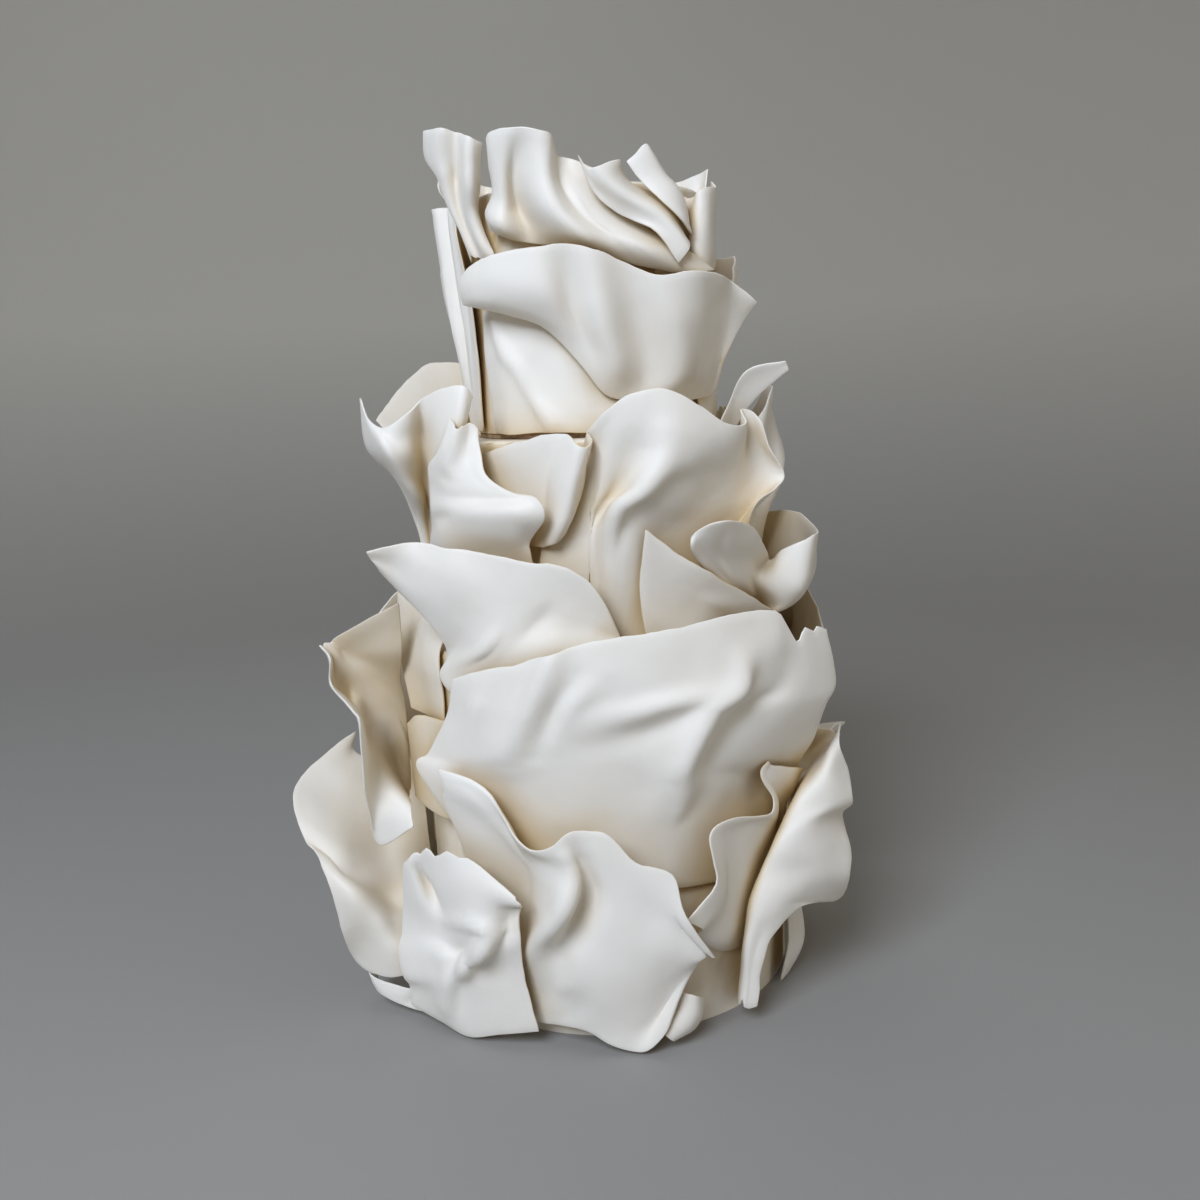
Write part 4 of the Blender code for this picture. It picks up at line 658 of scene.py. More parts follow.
BIG_FRONT = {
    "name": "big_front", "cells": (16, 7), "rails": [
        [(-45, 130, 98), (-33, 130, 99), (-20, 130, 100), (-8.5, 130, 100),
         (2.5, 130, 100), (13.5, 130, 99), (25.5, 130, 97), (40, 130, 94), (56, 130, 90)],
        [(-46, 131, 134), (-34, 131, 136), (-22, 132, 138), (-10, 133, 139), (1, 134, 139),
         (12, 135, 137), (22, 136, 134), (36, 133, 128), (54, 132, 122)],
        [(-58, 142, 169), (-42.5, 138, 171), (-29.5, 136, 172), (-16, 137, 174),
         (-4.5, 139, 174), (8, 140, 171), (18, 146, 168), (31, 138, 163), (50, 133, 153),
         (60, 143, 154)],
        [(-54.5, 141, 180), (-40.5, 140, 185), (-27.5, 141, 191), (-15, 141, 193),
         (-4, 142, 192), (8, 143, 189), (19, 151, 187), (27.5, 143, 181), (41.5, 145, 178),
         (59, 157, 178)],
        [(-46, 140, 207), (-34, 142, 214), (-23, 143, 216), (-12.5, 145, 219),
         (-2.5, 146, 220), (10.5, 148, 218), (23.5, 155, 214), (32, 150, 210),
         (43.5, 158, 207), (57, 168, 204)],
        [(-43, 141, 221), (-32.5, 143, 228), (-22, 143, 233), (-12, 147, 240),
         (-1, 148, 242), (13, 150, 239), (28.5, 157, 234), (37, 157, 231), (48, 164, 225),
         (58.5, 173, 220)],
        [(-41, 142, 235), (-30.5, 143, 243), (-20.5, 143, 249), (-12.5, 146, 256),
         (-2.5, 147, 264), (10, 149, 267), (22, 153, 271), (33, 157, 274),
         (43.5, 164, 270), (54.5, 172, 255)]],
    "folds": [
        ([(0.84, 0.94), (0.71, 0.87), (0.66, 0.72), (0.66, 0.58),
          (0.66, 0.42), (0.68, 0.26)], 7, 7),
        ([(0.87, 0.89), (0.79, 0.7), (0.75, 0.52), (0.73, 0.3)], 8, -5),
        ([(0.71, 0.84), (0.61, 0.76), (0.53, 0.68), (0.42, 0.62)], 9, 5),
        ([(0.67, 0.72), (0.58, 0.62), (0.46, 0.55)], 9, -3),
        ([(0.35, 1), (0.31, 0.84), (0.27, 0.68), (0.25, 0.5), (0.26, 0.4)], 11, 6),
        ([(0.45, 0.86), (0.39, 0.72), (0.35, 0.56)], 9, 3),
        ([(0.4, 0.85), (0.34, 0.7), (0.31, 0.5)], 8, -3),
        ([(0.13, 0.9), (0.11, 0.7), (0.12, 0.5)], 8, 2)]}
RIGHT_FLAP = {
    "name": "right_flap", "cells": (3, 3), "rails": [
        [(88, 131, 128), (96, 131, 126), (106, 131, 128)],
        [(92, 168, 160), (98, 180, 156), (108, 170, 146)]]}
RIGHT_SMALL = {
    "name": "right_small", "cells": (5, 4), "rails": [
        [(58, 134, 3), (66, 134, 2), (74, 131, 2)],
        [(60, 138, 30), (67, 143, 28), (76, 133, 26)],
        [(62, 136, 62), (70, 137, 60), (78, 131, 58)]]}
RIGHT_S = {
    "name": "right_s", "cells": (13, 5), "rails": [
        [(61, 131, 155), (62, 131, 137), (59, 131, 118), (56, 131, 99), (52, 131, 81),
         (48.5, 131, 67), (44.5, 131, 56), (40.5, 131, 48), (36.5, 131, 46), (32, 131, 48),
         (28.5, 131, 52), (25, 132, 57)],
        [(54, 134, 161), (54, 135, 147), (54.5, 136, 131), (52, 136, 114), (47, 136, 104),
         (42.5, 137, 96), (39, 138, 87), (36, 139, 77), (31.5, 142, 71), (27, 144, 68),
         (23, 146, 70), (20, 148, 74)],
        [(46.5, 138, 168), (46.5, 138, 160), (47, 142, 152), (48, 145, 142),
         (47, 146, 132), (43, 146, 130), (36.5, 146, 131), (31.5, 147, 129),
         (28.5, 149, 121), (28, 150, 106), (26, 153, 93), (20, 159, 83)],
        [(44.5, 140, 172), (42.5, 141, 167), (42.5, 145, 159), (44.5, 149, 149),
         (42.5, 152, 141), (37.5, 152, 142), (31, 153, 146), (25, 156, 146),
         (22.5, 158, 140), (23, 159, 125), (23, 161, 110), (15.5, 165, 93)]]}
RIGHT_RUFFLE = {
    "name": "right_ruffle", "cells": (13, 7), "rails": [
        [(78, 131, 172), (76, 131, 158), (73, 131, 142), (70, 131, 124), (66, 131, 106),
         (62, 131, 90), (58, 131, 74), (55, 131, 60), (52, 131, 46), (50, 131, 32),
         (48, 131, 18), (47, 131, 3)],
        [(78.5, 158, 168), (79.5, 147, 150), (62.5, 143, 144), (55.5, 141, 131),
         (51, 140, 119), (47.5, 139, 108), (44.5, 138, 97), (42, 137, 84), (40, 136, 70),
         (39, 136, 50), (37.5, 136, 30), (36.5, 136, 9)],
        [(78, 165, 163), (67.5, 157, 158), (54.5, 156, 152), (48.5, 155, 139),
         (45, 154, 128), (42, 153, 118), (40, 151, 105), (38, 149, 92), (36.5, 148, 78),
         (35, 147, 58), (34.5, 146, 38), (33, 146, 16)],
        [(78, 165, 168), (61, 167, 170), (55.5, 170, 157), (54, 171, 140), (50, 168, 132),
         (49.5, 169, 114), (49, 167, 99), (45.5, 163, 87), (41, 158, 80), (38, 152, 62),
         (36, 149, 40), (34.5, 149, 13)],
        [(69.5, 168, 182), (62, 172, 174), (63, 178, 156), (61.5, 182, 137),
         (64.5, 172, 123), (61.5, 180, 104), (59.5, 181, 87), (62.5, 171, 65),
         (48.5, 163, 75), (40.5, 155, 60), (38, 152, 39), (36.5, 152, 14)]]}
FRONT_LOWER = {
    "name": "front_lower", "cells": (18, 7), "rails": [
        [(-42, 131, 120), (-40, 130, 104), (-38, 130, 92), (-36, 130, 80), (-32, 130, 66),
         (-28, 131, 50), (-26.5, 132, 30), (-23, 136, 14), (-15, 141, 15), (-7.5, 145, 15),
         (-1.5, 147, 7), (5, 147, 3), (11, 147, 13), (14, 150, 31)],
        [(-44.5, 146, 155), (-38, 144, 148), (-31, 142, 136), (-26, 140, 122),
         (-21.5, 140, 107), (-22, 140, 80), (-20, 146, 62), (-13, 152, 56), (-6, 154, 51),
         (-1, 153, 40), (5.5, 151, 30), (11.5, 150, 35), (14.5, 153, 46), (17.5, 158, 57)],
        [(-43, 150, 164), (-34.5, 150, 162), (-29, 148, 152), (-24.5, 146, 137),
         (-20, 146, 125), (-15.5, 152, 114), (-12, 160, 102), (-8, 154, 90), (-2, 157, 82),
         (2.5, 159, 76), (6.5, 160, 72), (11, 162, 72), (14.5, 163, 69), (18, 165, 66)],
        [(-43.5, 151, 172), (-35.5, 150, 171), (-29, 150, 164), (-24.5, 149, 149),
         (-20.5, 149, 133), (-15, 155, 130), (-9.5, 160, 127), (-6, 153, 119),
         (-1, 158, 115), (3.5, 160, 108), (7.5, 161, 102), (11.5, 163, 98), (15, 164, 90),
         (19.5, 166, 69)],
        [(-45, 150, 177), (-36, 149, 175), (-29, 150, 169), (-25, 152, 156),
         (-21.5, 155, 144), (-17, 160, 139), (-12, 163, 144), (-8.5, 162, 152),
         (-4, 160, 152), (0, 161, 149), (5, 162, 133), (12.5, 164, 123), (15, 165, 97),
         (21, 166, 68)]],
    "folds": [
        ([(0.49, 0.88), (0.48, 0.62), (0.48, 0.47), (0.46, 0.35), (0.43, 0.17)], 6, 10),
        ([(0.55, 0.85), (0.56, 0.72), (0.53, 0.53), (0.51, 0.35),
          (0.54, 0.15), (0.62, 0.1)], 8, -8)]}
FRONT_CURL = {
    "name": "front_curl", "cells": (4, 3), "rails": [
        [(14, 141, 34), (13, 141, 27), (11, 141, 21), (9.5, 141, 15)],
        [(15.5, 149, 38), (15.5, 150, 29), (13, 150, 21), (10.5, 150, 14)],
        [(19, 152, 35), (19, 152, 24), (16.5, 152, 15), (13, 151, 8)],
        [(22.5, 144, 27), (22, 143, 14), (19.5, 142, 6), (15.5, 141, 3)]]}
LEFT_LEAF = {
    "name": "left_front_leaf", "cells": (7, 9), "rails": [
        [(-54.5, 158, 9), (-45.5, 158, 7), (-37.5, 157, 3), (-29, 153, 9), (-19.5, 149, 14)],
        [(-54.5, 160, 30), (-43.5, 164, 36), (-37, 160, 37), (-29.5, 155, 40),
         (-21.5, 151, 42)],
        [(-55.5, 162, 47), (-46.5, 163, 54), (-38, 166, 59), (-31, 158, 60), (-22, 153, 60)],
        [(-55, 165, 70), (-49, 162, 68), (-42.5, 160, 67), (-30, 166, 75), (-21.5, 157, 79)],
        [(-53, 168, 94), (-48.5, 165, 91), (-43.5, 160, 83), (-30.5, 167, 92),
         (-21, 161, 94)],
        [(-50.5, 171, 114), (-48.5, 168, 112), (-46, 161, 105), (-33, 166, 113),
         (-19.5, 166, 107)],
        [(-49, 171, 119), (-47.5, 168, 124), (-43, 165, 130), (-32, 162, 128),
         (-19.5, 166, 109)]],
    "folds": [
        ([(0.31, 0.86), (0.46, 0.81), (0.5, 0.7), (0.56, 0.67)], 5, -5),
        ([(0.58, 0.65), (0.73, 0.65), (0.81, 0.62), (0.85, 0.57), (0.73, 0.43),
          (0.58, 0.3), (0.38, 0.19), (0.31, 0.08)], 5, 10),
        ([(0.7, 0.52), (0.6, 0.42), (0.5, 0.3), (0.45, 0.12)], 6, -6),
        ([(0.97, 0.72), (0.91, 0.55), (0.83, 0.44)], 6, -7)]}

# Sheets of the back half, like those of the front but turned and mirrored
BACK_SHEETS = [
    turned(MID_DRAPE, "back_drape_left", (12, 5), -160, flip=True, lift=-4, swell=0.7),
    turned(MID_DRAPE, "back_drape_right", (12, 5), 126, lift=3, swell=0.8),
    turned(CROWN_CENTRE, "back_crown_left", (9, 4), -146, flip=True, lift=-8),
    turned(CROWN_CENTRE, "back_crown_right", (9, 4), 150, lift=-4),
    turned(CROWN_LEFT, "back_crown_side", (5, 4), 178, flip=True, lift=-6),
    turned(RIGHT_BIG, "back_middle_right", (10, 6), 84, lift=-2, swell=0.85),
    turned(LEFT_CUP, "back_middle_cup", (9, 5), 205, lift=-6, swell=0.85),
    turned(RIGHT_BIG, "back_middle_left", (10, 6), 196, flip=True, swell=0.8),
    turned(LEFT_BIG_LEAF, "back_leaf_right", (9, 5), 118, flip=True, lift=-4, swell=0.8),
    turned(LEFT_BIG_LEAF, "back_leaf_left", (9, 5), 214, lift=-2, swell=0.8),
    turned(BIG_FRONT, "back_bottom_right", (12, 6), 140, flip=True, lift=-3, swell=0.7),
    turned(BIG_FRONT, "back_bottom_left", (12, 6), 210, lift=-6, swell=0.9),
    turned(FRONT_LOWER, "back_ruffle_right", (14, 5), 118, flip=True),
    turned(FRONT_LOWER, "back_ruffle_left", (14, 5), 238, swell=0.95),
    turned(LEFT_BIG_LEAF, "side_leaf_left", (9, 5), -84, lift=-3, swell=0.5),
    turned(FRONT_PANEL, "side_panel_right", (5, 3), 110),
    turned(FRONT_PANEL, "back_panel_right", (5, 3), 172, flip=True, lift=2),
    turned(FRONT_PANEL, "back_panel_left", (5, 3), -122, lift=1),
    turned(LEFT_LEAF, "back_leaf_low", (6, 8), 212, swell=0.9),
]
BACK = {made["name"]: made for made in BACK_SHEETS}

# The order in which the sheets are laid on the cake
ORDER = [
    LEFT_PLEATS, FRONT_PANEL, BACK["side_panel_right"], BACK["back_panel_right"],
    BACK["back_panel_left"], BACK["back_crown_left"], BACK["back_crown_right"],
    BACK["back_crown_side"], ROLL_RIGHT, BACK["back_drape_left"],
    BACK["back_drape_right"], CROWN_CENTRE, CROWN_LEFT, CROWN_RIGHT, CROWN_POINT,
    MID_DRAPE, LEFT_BACK_LEAF, RIGHT_LEAF, LEFT_CUP, RIGHT_BIG, CENTRE_TUBE,
    LEFT_LOBE, BACK["back_middle_right"], BACK["back_middle_cup"],
    BACK["back_middle_left"], RIGHT_SCROLL, RIGHT_TRIANGLE, BACK["side_leaf_left"],
    SHADE_PANEL, LEFT_SMALL, LEFT_BIG_LEAF, BACK["back_leaf_right"],
    BACK["back_leaf_left"], BIG_FRONT, LEFT_TWIST, BACK["back_bottom_right"],
    BACK["back_bottom_left"], LEFT_PETAL, LEFT_BASE, RIGHT_FLAP, RIGHT_SMALL, RIGHT_S,
    RIGHT_RUFFLE, BACK["back_ruffle_right"], BACK["back_ruffle_left"], FRONT_CURL,
    FRONT_LOWER, LEFT_LEAF, BACK["back_leaf_low"],
]


def fine_cells(sheet, cell):
    """Numbers of cells that make a sheet's cells about square."""
    lines = [rail(points) for points in sheet["rails"]]
    wide = max(np.linalg.norm(np.diff(line, axis=0), axis=1).sum() for line in lines)
    spans = [np.array([line[min(k, len(line) - 1)] for line in lines])
             for k in (0, len(lines[0]) // 2, len(lines[0]) - 1)]
    high = max(np.linalg.norm(np.diff(span, axis=0), axis=1).sum() for span in spans)
    return max(12, int(round(wide * 1.05 / cell))), max(8, int(round(high * 1.05 / cell)))


def stretched(shift, cells_u, cells_v):
    """A coarse grid of moves read at the points of a fine grid."""
    u = np.linspace(0.0, 1.0, cells_u + 1)
    v = np.linspace(0.0, 1.0, cells_v + 1)
    lines = np.array([spline(row, u) for row in shift])
    return spline(lines, v)


def noise_field(grid, size, seed):
    """Smooth noise at a grid's points in millimetres, about -1 to 1."""
    offset = Vector((seed * 7.3, seed * 3.1, seed * 5.7))
    field = [noise.noise(Vector(p) / size + offset) for p in grid.reshape(-1, 3)]
    return np.array(field).reshape(grid.shape[:2])


def border_steps(grid):
    """Distances from the rim, from the nearer of root and rim, and from the nearer side."""
    rows, columns = grid.shape[:2]
    step_u, step_v = cell_size(grid)
    up = np.arange(rows)[:, None]
    along = np.arange(columns)[None, :]
    to_rim = (rows - 1 - up) * step_v
    to_end = np.minimum(up, rows - 1 - up) * step_v
    to_side = np.minimum(along, columns - 1 - along) * step_u
    return to_rim, to_end, to_side


def worked_by_hand(grid, seed):
    """Uneven thinness of rolled icing: low swells, and edges cut a little off line."""
    swell = noise_field(grid, RELIEF_SIZE, seed)
    swell += 0.4 * noise_field(grid, RELIEF_SIZE * 0.45, seed + 11)
    grid = grid + grid_normals(grid) * (swell * RELIEF_HEIGHT)[..., None]
    along = np.gradient(grid, axis=1)
    across = np.gradient(grid, axis=0)
    along /= np.maximum(np.linalg.norm(along, axis=2, keepdims=True), 1e-9)
    across /= np.maximum(np.linalg.norm(across, axis=2, keepdims=True), 1e-9)
    wave = noise_field(grid, EDGE_SIZE, seed + 23)
    wave += 0.5 * noise_field(grid, EDGE_SIZE * 0.4, seed + 31)
    to_rim, _, to_side = border_steps(grid)
    fall_v = np.exp(-(to_rim / EDGE_REACH) ** 2)
    fall_u = np.exp(-(to_side / EDGE_REACH) ** 2)
    grid = grid + across * (wave * fall_v * EDGE_WAVE)[..., None]
    return grid + along * (wave * fall_u * EDGE_WAVE * 0.6)[..., None]


def torn(grid, cuts):
    """A sheet whose rim is pulled back at the tears, each (u, half width, depth)."""
    rows, columns = grid.shape[:2]
    u = np.linspace(0.0, 1.0, columns)
    depth = np.zeros(columns)
    for middle, reach, deep in cuts:
        depth = np.maximum(depth, deep * np.clip(1.0 - np.abs(u - middle) / reach, 0.0, 1.0))
    made = grid.copy()
    for j in np.nonzero(depth)[0]:
        line = np.linspace(0.0, (1.0 - depth[j]) * (rows - 1), rows)
        low = np.minimum(line.astype(int), rows - 2)
        part = (line - low)[:, None]
        made[:, j] = grid[low, j] * (1.0 - part) + grid[low + 1, j] * part
    return made


def thinned(grid):
    """Every second line of a fine grid, its borders kept."""
    rows, columns = grid.shape[:2]
    keep_rows = sorted(set(range(0, rows, 2)) | {rows - 1})
    keep_columns = sorted(set(range(0, columns, 2)) | {columns - 1})
    return grid[keep_rows][:, keep_columns]


def neighbours(grid, laid):
    """Search tree over the sheets whose boxes come near this one."""
    low = grid.reshape(-1, 3).min(0) - CLEAR_MARGIN
    high = grid.reshape(-1, 3).max(0) + CLEAR_MARGIN
    close = [other for other in laid
             if (other.reshape(-1, 3).min(0) < high).all()
             and (other.reshape(-1, 3).max(0) > low).all()]
    return layer_tree(close) if close else None


def eased(field, rounds):
    """A field on a grid, averaged with its neighbours."""
    for _ in range(rounds):
        padded = np.pad(field, 1, mode="edge")
        field = (padded[1:-1, 1:-1] * 2 + padded[:-2, 1:-1] + padded[2:, 1:-1]
                 + padded[1:-1, :-2] + padded[1:-1, 2:]) / 6
    return field


def cleared(grid, laid):
    """Last small pushes of a fine sheet off the cake and the sheets under it."""
    rows, columns = grid.shape[:2]
    points = grid.reshape(-1, 3).copy()
    tree = neighbours(grid, laid)
    active = np.arange(len(points))
    for _ in range(CLEAR_ROUNDS):
        radius = np.hypot(points[:, 0], points[:, 1])
        outward = points[:, :2] / np.maximum(radius, 1e-6)[:, None]
        push = np.maximum(0.0, wall_radius(points[:, 2]) + WALL_PITCH - radius)
        side = np.zeros_like(points)
        near = push > 0
        if tree is not None:
            for k in active:
                lack, step, close = shortfall(points[k], outward[k], radius[k], tree)
                push[k] = max(push[k], lack)
                near[k] |= close
                if step is not None:
                    side[k] = step
        moves = np.concatenate([outward * push[:, None], np.zeros((len(points), 1))], 1) + side
        if np.abs(moves).max() < FINE_SETTLED:
            break
        field = moves.reshape(rows, columns, 3)
        soft = np.stack([eased(field[..., c], 6) for c in range(3)], 2)
        size = np.linalg.norm(field, axis=2, keepdims=True)
        spread = np.linalg.norm(soft, axis=2, keepdims=True)
        soft *= np.minimum(MOST_GROWTH, size.max() / max(1e-6, spread.max()))
        strong = np.where(size > spread, field * 0.6 + soft * 0.4, soft)
        points += strong.reshape(-1, 3)
        active = np.nonzero(near)[0]
        if len(active) == 0:
            break
    return points.reshape(rows, columns, 3)


def cake_tree(grids):
    """Search tree over every sheet and the sides of the tiers, drawn in a little."""
    verts, faces = all_facets(grids)
    sides = 36
    for radius, bottom, top in ((BOTTOM_RADIUS, 0.0, BOTTOM_TOP),
                                (MIDDLE_RADIUS, BOTTOM_TOP, MIDDLE_TOP),
                                (TOP_RADIUS, MIDDLE_TOP, TOP_TOP)):
        base = len(verts)
        for k in range(sides):
            angle = 2 * math.pi * k / sides
            x = (radius - 1.0) * math.cos(angle)
            y = (radius - 1.0) * math.sin(angle)
            verts.extend([(x, y, bottom), (x, y, top - 1.0)])
        for k in range(sides):
            a = base + 2 * k
            b = base + 2 * ((k + 1) % sides)
            faces.append((a, b, b + 1, a + 1))
        faces.append(tuple(base + 2 * k + 1 for k in range(sides)))
    return BVHTree.FromPolygons(verts, faces)


def open_share(points, normals, tree):
    """Share of the directions in front of each point in which the cake is not close."""
    rays = [(0.0, 0.0, 1.0)]
    for lean, number, start in ((35.0, 4, 0.3), (65.0, 5, 0.9)):
        for k in range(number):
            turn = start + 2 * math.pi * k / number
            tilt = math.radians(lean)
            rays.append((math.sin(tilt) * math.cos(turn), math.sin(tilt) * math.sin(turn),
                         math.cos(tilt)))
    helper = np.where(np.abs(normals[:, 2:3]) < 0.8, [[0.0, 0.0, 1.0]], [[1.0, 0.0, 0.0]])
    side = np.cross(helper, normals)
    side /= np.maximum(np.linalg.norm(side, axis=1, keepdims=True), 1e-9)
    other = np.cross(normals, side)
    clear = np.zeros(len(points))
    cast = tree.ray_cast
    for a, b, c in rays:
        ways = side * a + other * b + normals * c
        for k, (spot, way) in enumerate(zip(points.tolist(), ways.tolist())):
            dist = cast(spot, way, OPEN_REACH)[3]
            clear[k] += 1.0 if dist is None else dist / OPEN_REACH
    return clear / len(rays)


def sheet_openness(grid, tree):
    """How open each point of a sheet's front and back face lies, 0 to 1."""
    normal = grid_normals(grid)
    off = SHEET_THICKNESS / 2 + 0.5
    shares = []
    for way in (1.0, -1.0):
        points = (grid + normal * (off * way))[::2, ::2]
        facing = (normal * way)[::2, ::2]
        share = open_share(points.reshape(-1, 3), facing.reshape(-1, 3), tree)
        share = eased(share.reshape(points.shape[:2]), 1)
        rows, columns = grid.shape[:2]
        u = np.arange(columns) / 2.0
        v = np.arange(rows) / 2.0
        wide = np.array([np.interp(u, np.arange(share.shape[1]), line) for line in share])
        tall = np.array([np.interp(v, np.arange(share.shape[0]), line)
                         for line in wide.T]).T
        shares.append(tall.reshape(-1))
    return shares


def set_painted_shade_openness(piece, values):
    """Keep how open each vertex lies on the mesh, which the material turns into painted shade."""
    layer = piece.data.attributes.new("painted_shade_openness", "FLOAT", "POINT")
    layer.data.foreach_set("value", np.asarray(values, dtype=np.float32))


def ring_of(rows, columns):
    """Indices round the border of a grid."""
    return ([j for j in range(columns)]
            + [i * columns + columns - 1 for i in range(1, rows)]
            + [(rows - 1) * columns + j for j in range(columns - 2, -1, -1)]
            + [i * columns for i in range(rows - 2, 0, -1)])


def add_piece(name, verts, faces, material):
    """A mesh piece from points in millimetres, which rides on the cake."""
    mesh = bpy.data.meshes.new(name)
    mesh.from_pydata((np.asarray(verts, float) * MM).tolist(), [], faces)
    mesh.materials.append(material)
    mesh.shade_smooth()
    piece = bpy.data.objects.new(name, mesh)
    bpy.context.scene.collection.objects.link(piece)
    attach(piece, "root")
    return piece


def half_thickness(grid):
    """Half the thickness at each point: full inside, EDGE_HALF at the border."""
    _, to_end, to_side = border_steps(grid)
    share = np.clip(np.minimum(to_end, to_side) / THIN_REACH, 0.0, 1.0)
    return EDGE_HALF + (SHEET_THICKNESS / 2 - EDGE_HALF) * share * (2.0 - share)


def icing_sheet(name, grid, material, shares):
    """A thin solid from its fine middle surface, rolled thinner toward its round edge."""
    rows, columns = grid.shape[:2]
    normal = grid_normals(grid)
    count = rows * columns
    half = half_thickness(grid)
    front = (grid + normal * half[..., None]).reshape(-1, 3)
    back = (grid - normal * half[..., None]).reshape(-1, 3)
    ring = ring_of(rows, columns)
    flat = grid.reshape(-1, 3)
    ring_normal = normal.reshape(-1, 3)[ring]
    border = flat[ring]
    tangent = np.roll(border, -1, axis=0) - np.roll(border, 1, axis=0)
    outward = np.cross(tangent, ring_normal)
    outward /= np.maximum(np.linalg.norm(outward, axis=1, keepdims=True), 1e-9)
    bands = []
    for turn in (40.0, 90.0, 140.0):
        reach = math.sin(math.radians(turn)) * EDGE_HALF * 0.8
        rise = math.cos(math.radians(turn)) * EDGE_HALF
        bands.append(border + outward * reach + ring_normal * rise)
    verts = np.concatenate([front, back] + bands)
    verts[:, 2] = np.maximum(verts[:, 2], FLOOR_GAP)
    faces = []
    for i in range(rows - 1):
        for j in range(columns - 1):
            a = i * columns + j
            faces.append((a, a + 1, a + columns + 1, a + columns))
            faces.append((count + a, count + a + columns, count + a + columns + 1,
                          count + a + 1))
    length = len(ring)
    loops = [ring] + [[2 * count + k * length + n for n in range(length)]
                      for k in range(3)] + [[count + a for a in ring]]
    for upper, lower in zip(loops[:-1], loops[1:]):
        for n in range(length):
            m = (n + 1) % length
            faces.append((upper[m], upper[n], lower[n], lower[m]))
    piece = add_piece("icing_" + name, verts, faces, material)
    # Openness of both faces and of the edge, for the material's painted shade
    edge = (shares[0] + shares[1])[ring] / 2
    set_painted_shade_openness(piece, np.concatenate([shares[0], shares[1], edge, edge, edge]))
    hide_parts(name)
    return piece


def round_tier(name, node, radius, bottom, top, edge, material, tree):
    """A tier turned on its axis, with a softly rounded top edge and uneven sides."""
    sides = 144
    steps = max(2, int((top - bottom) / 6.0))
    profile = [(radius, bottom + (top - edge - bottom) * k / steps) for k in range(steps + 1)]
    for k in range(1, 7):
        turn = math.radians(15.0 * k)
        profile.append((radius - edge + edge * math.cos(turn),
                        top - edge + edge * math.sin(turn)))
    for share in (0.85, 0.6, 0.3):
        profile.append(((radius - edge) * share, top))
    verts = [(0.0, 0.0, bottom)]
    for reach, height in profile:
        for k in range(sides):
            angle = 2 * math.pi * k / sides
            spot = Vector((math.cos(angle) * reach, math.sin(angle) * reach, height))
            off = 0.35 * noise.noise(spot / 45.0)
            verts.append((math.cos(angle) * (reach + off), math.sin(angle) * (reach + off),
                          height))
    verts.append((0.0, 0.0, top))
    last = len(verts) - 1
    faces = []
    for k in range(sides):
        nxt = (k + 1) % sides
        faces.append((0, 1 + nxt, 1 + k))
        for level in range(len(profile) - 1):
            low = 1 + level * sides
            high = low + sides
            faces.append((low + k, low + nxt, high + nxt, high + k))
        crest = 1 + (len(profile) - 1) * sides
        faces.append((last, crest + k, crest + nxt))
    piece = add_piece(name, verts, faces, material)
    piece.data.set_sharp_from_angle(angle=math.radians(50.0))
    points = np.array(verts)
    flat = np.array(verts) * (1.0, 1.0, 0.0)
    facing = flat / np.maximum(np.linalg.norm(flat, axis=1, keepdims=True), 1e-9)
    facing[points[:, 2] > top - edge * 0.3] = (0.0, 0.0, 1.0)
    facing[[0]] = (0.0, 0.0, -1.0)
    # Openness of the tier's surface, for the material's painted shade
    shares = open_share(points + facing * 0.5, facing, tree)
    set_painted_shade_openness(piece, shares)
    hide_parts(node)
    return piece


def node_at(tree, kind, x, y, **values):
    """A shader node with values set on its inputs."""
    made = tree.nodes.new(kind)
    made.location = (x, y)
    for key, value in values.items():
        made.inputs[key.replace("_", " ")].default_value = value
    return made


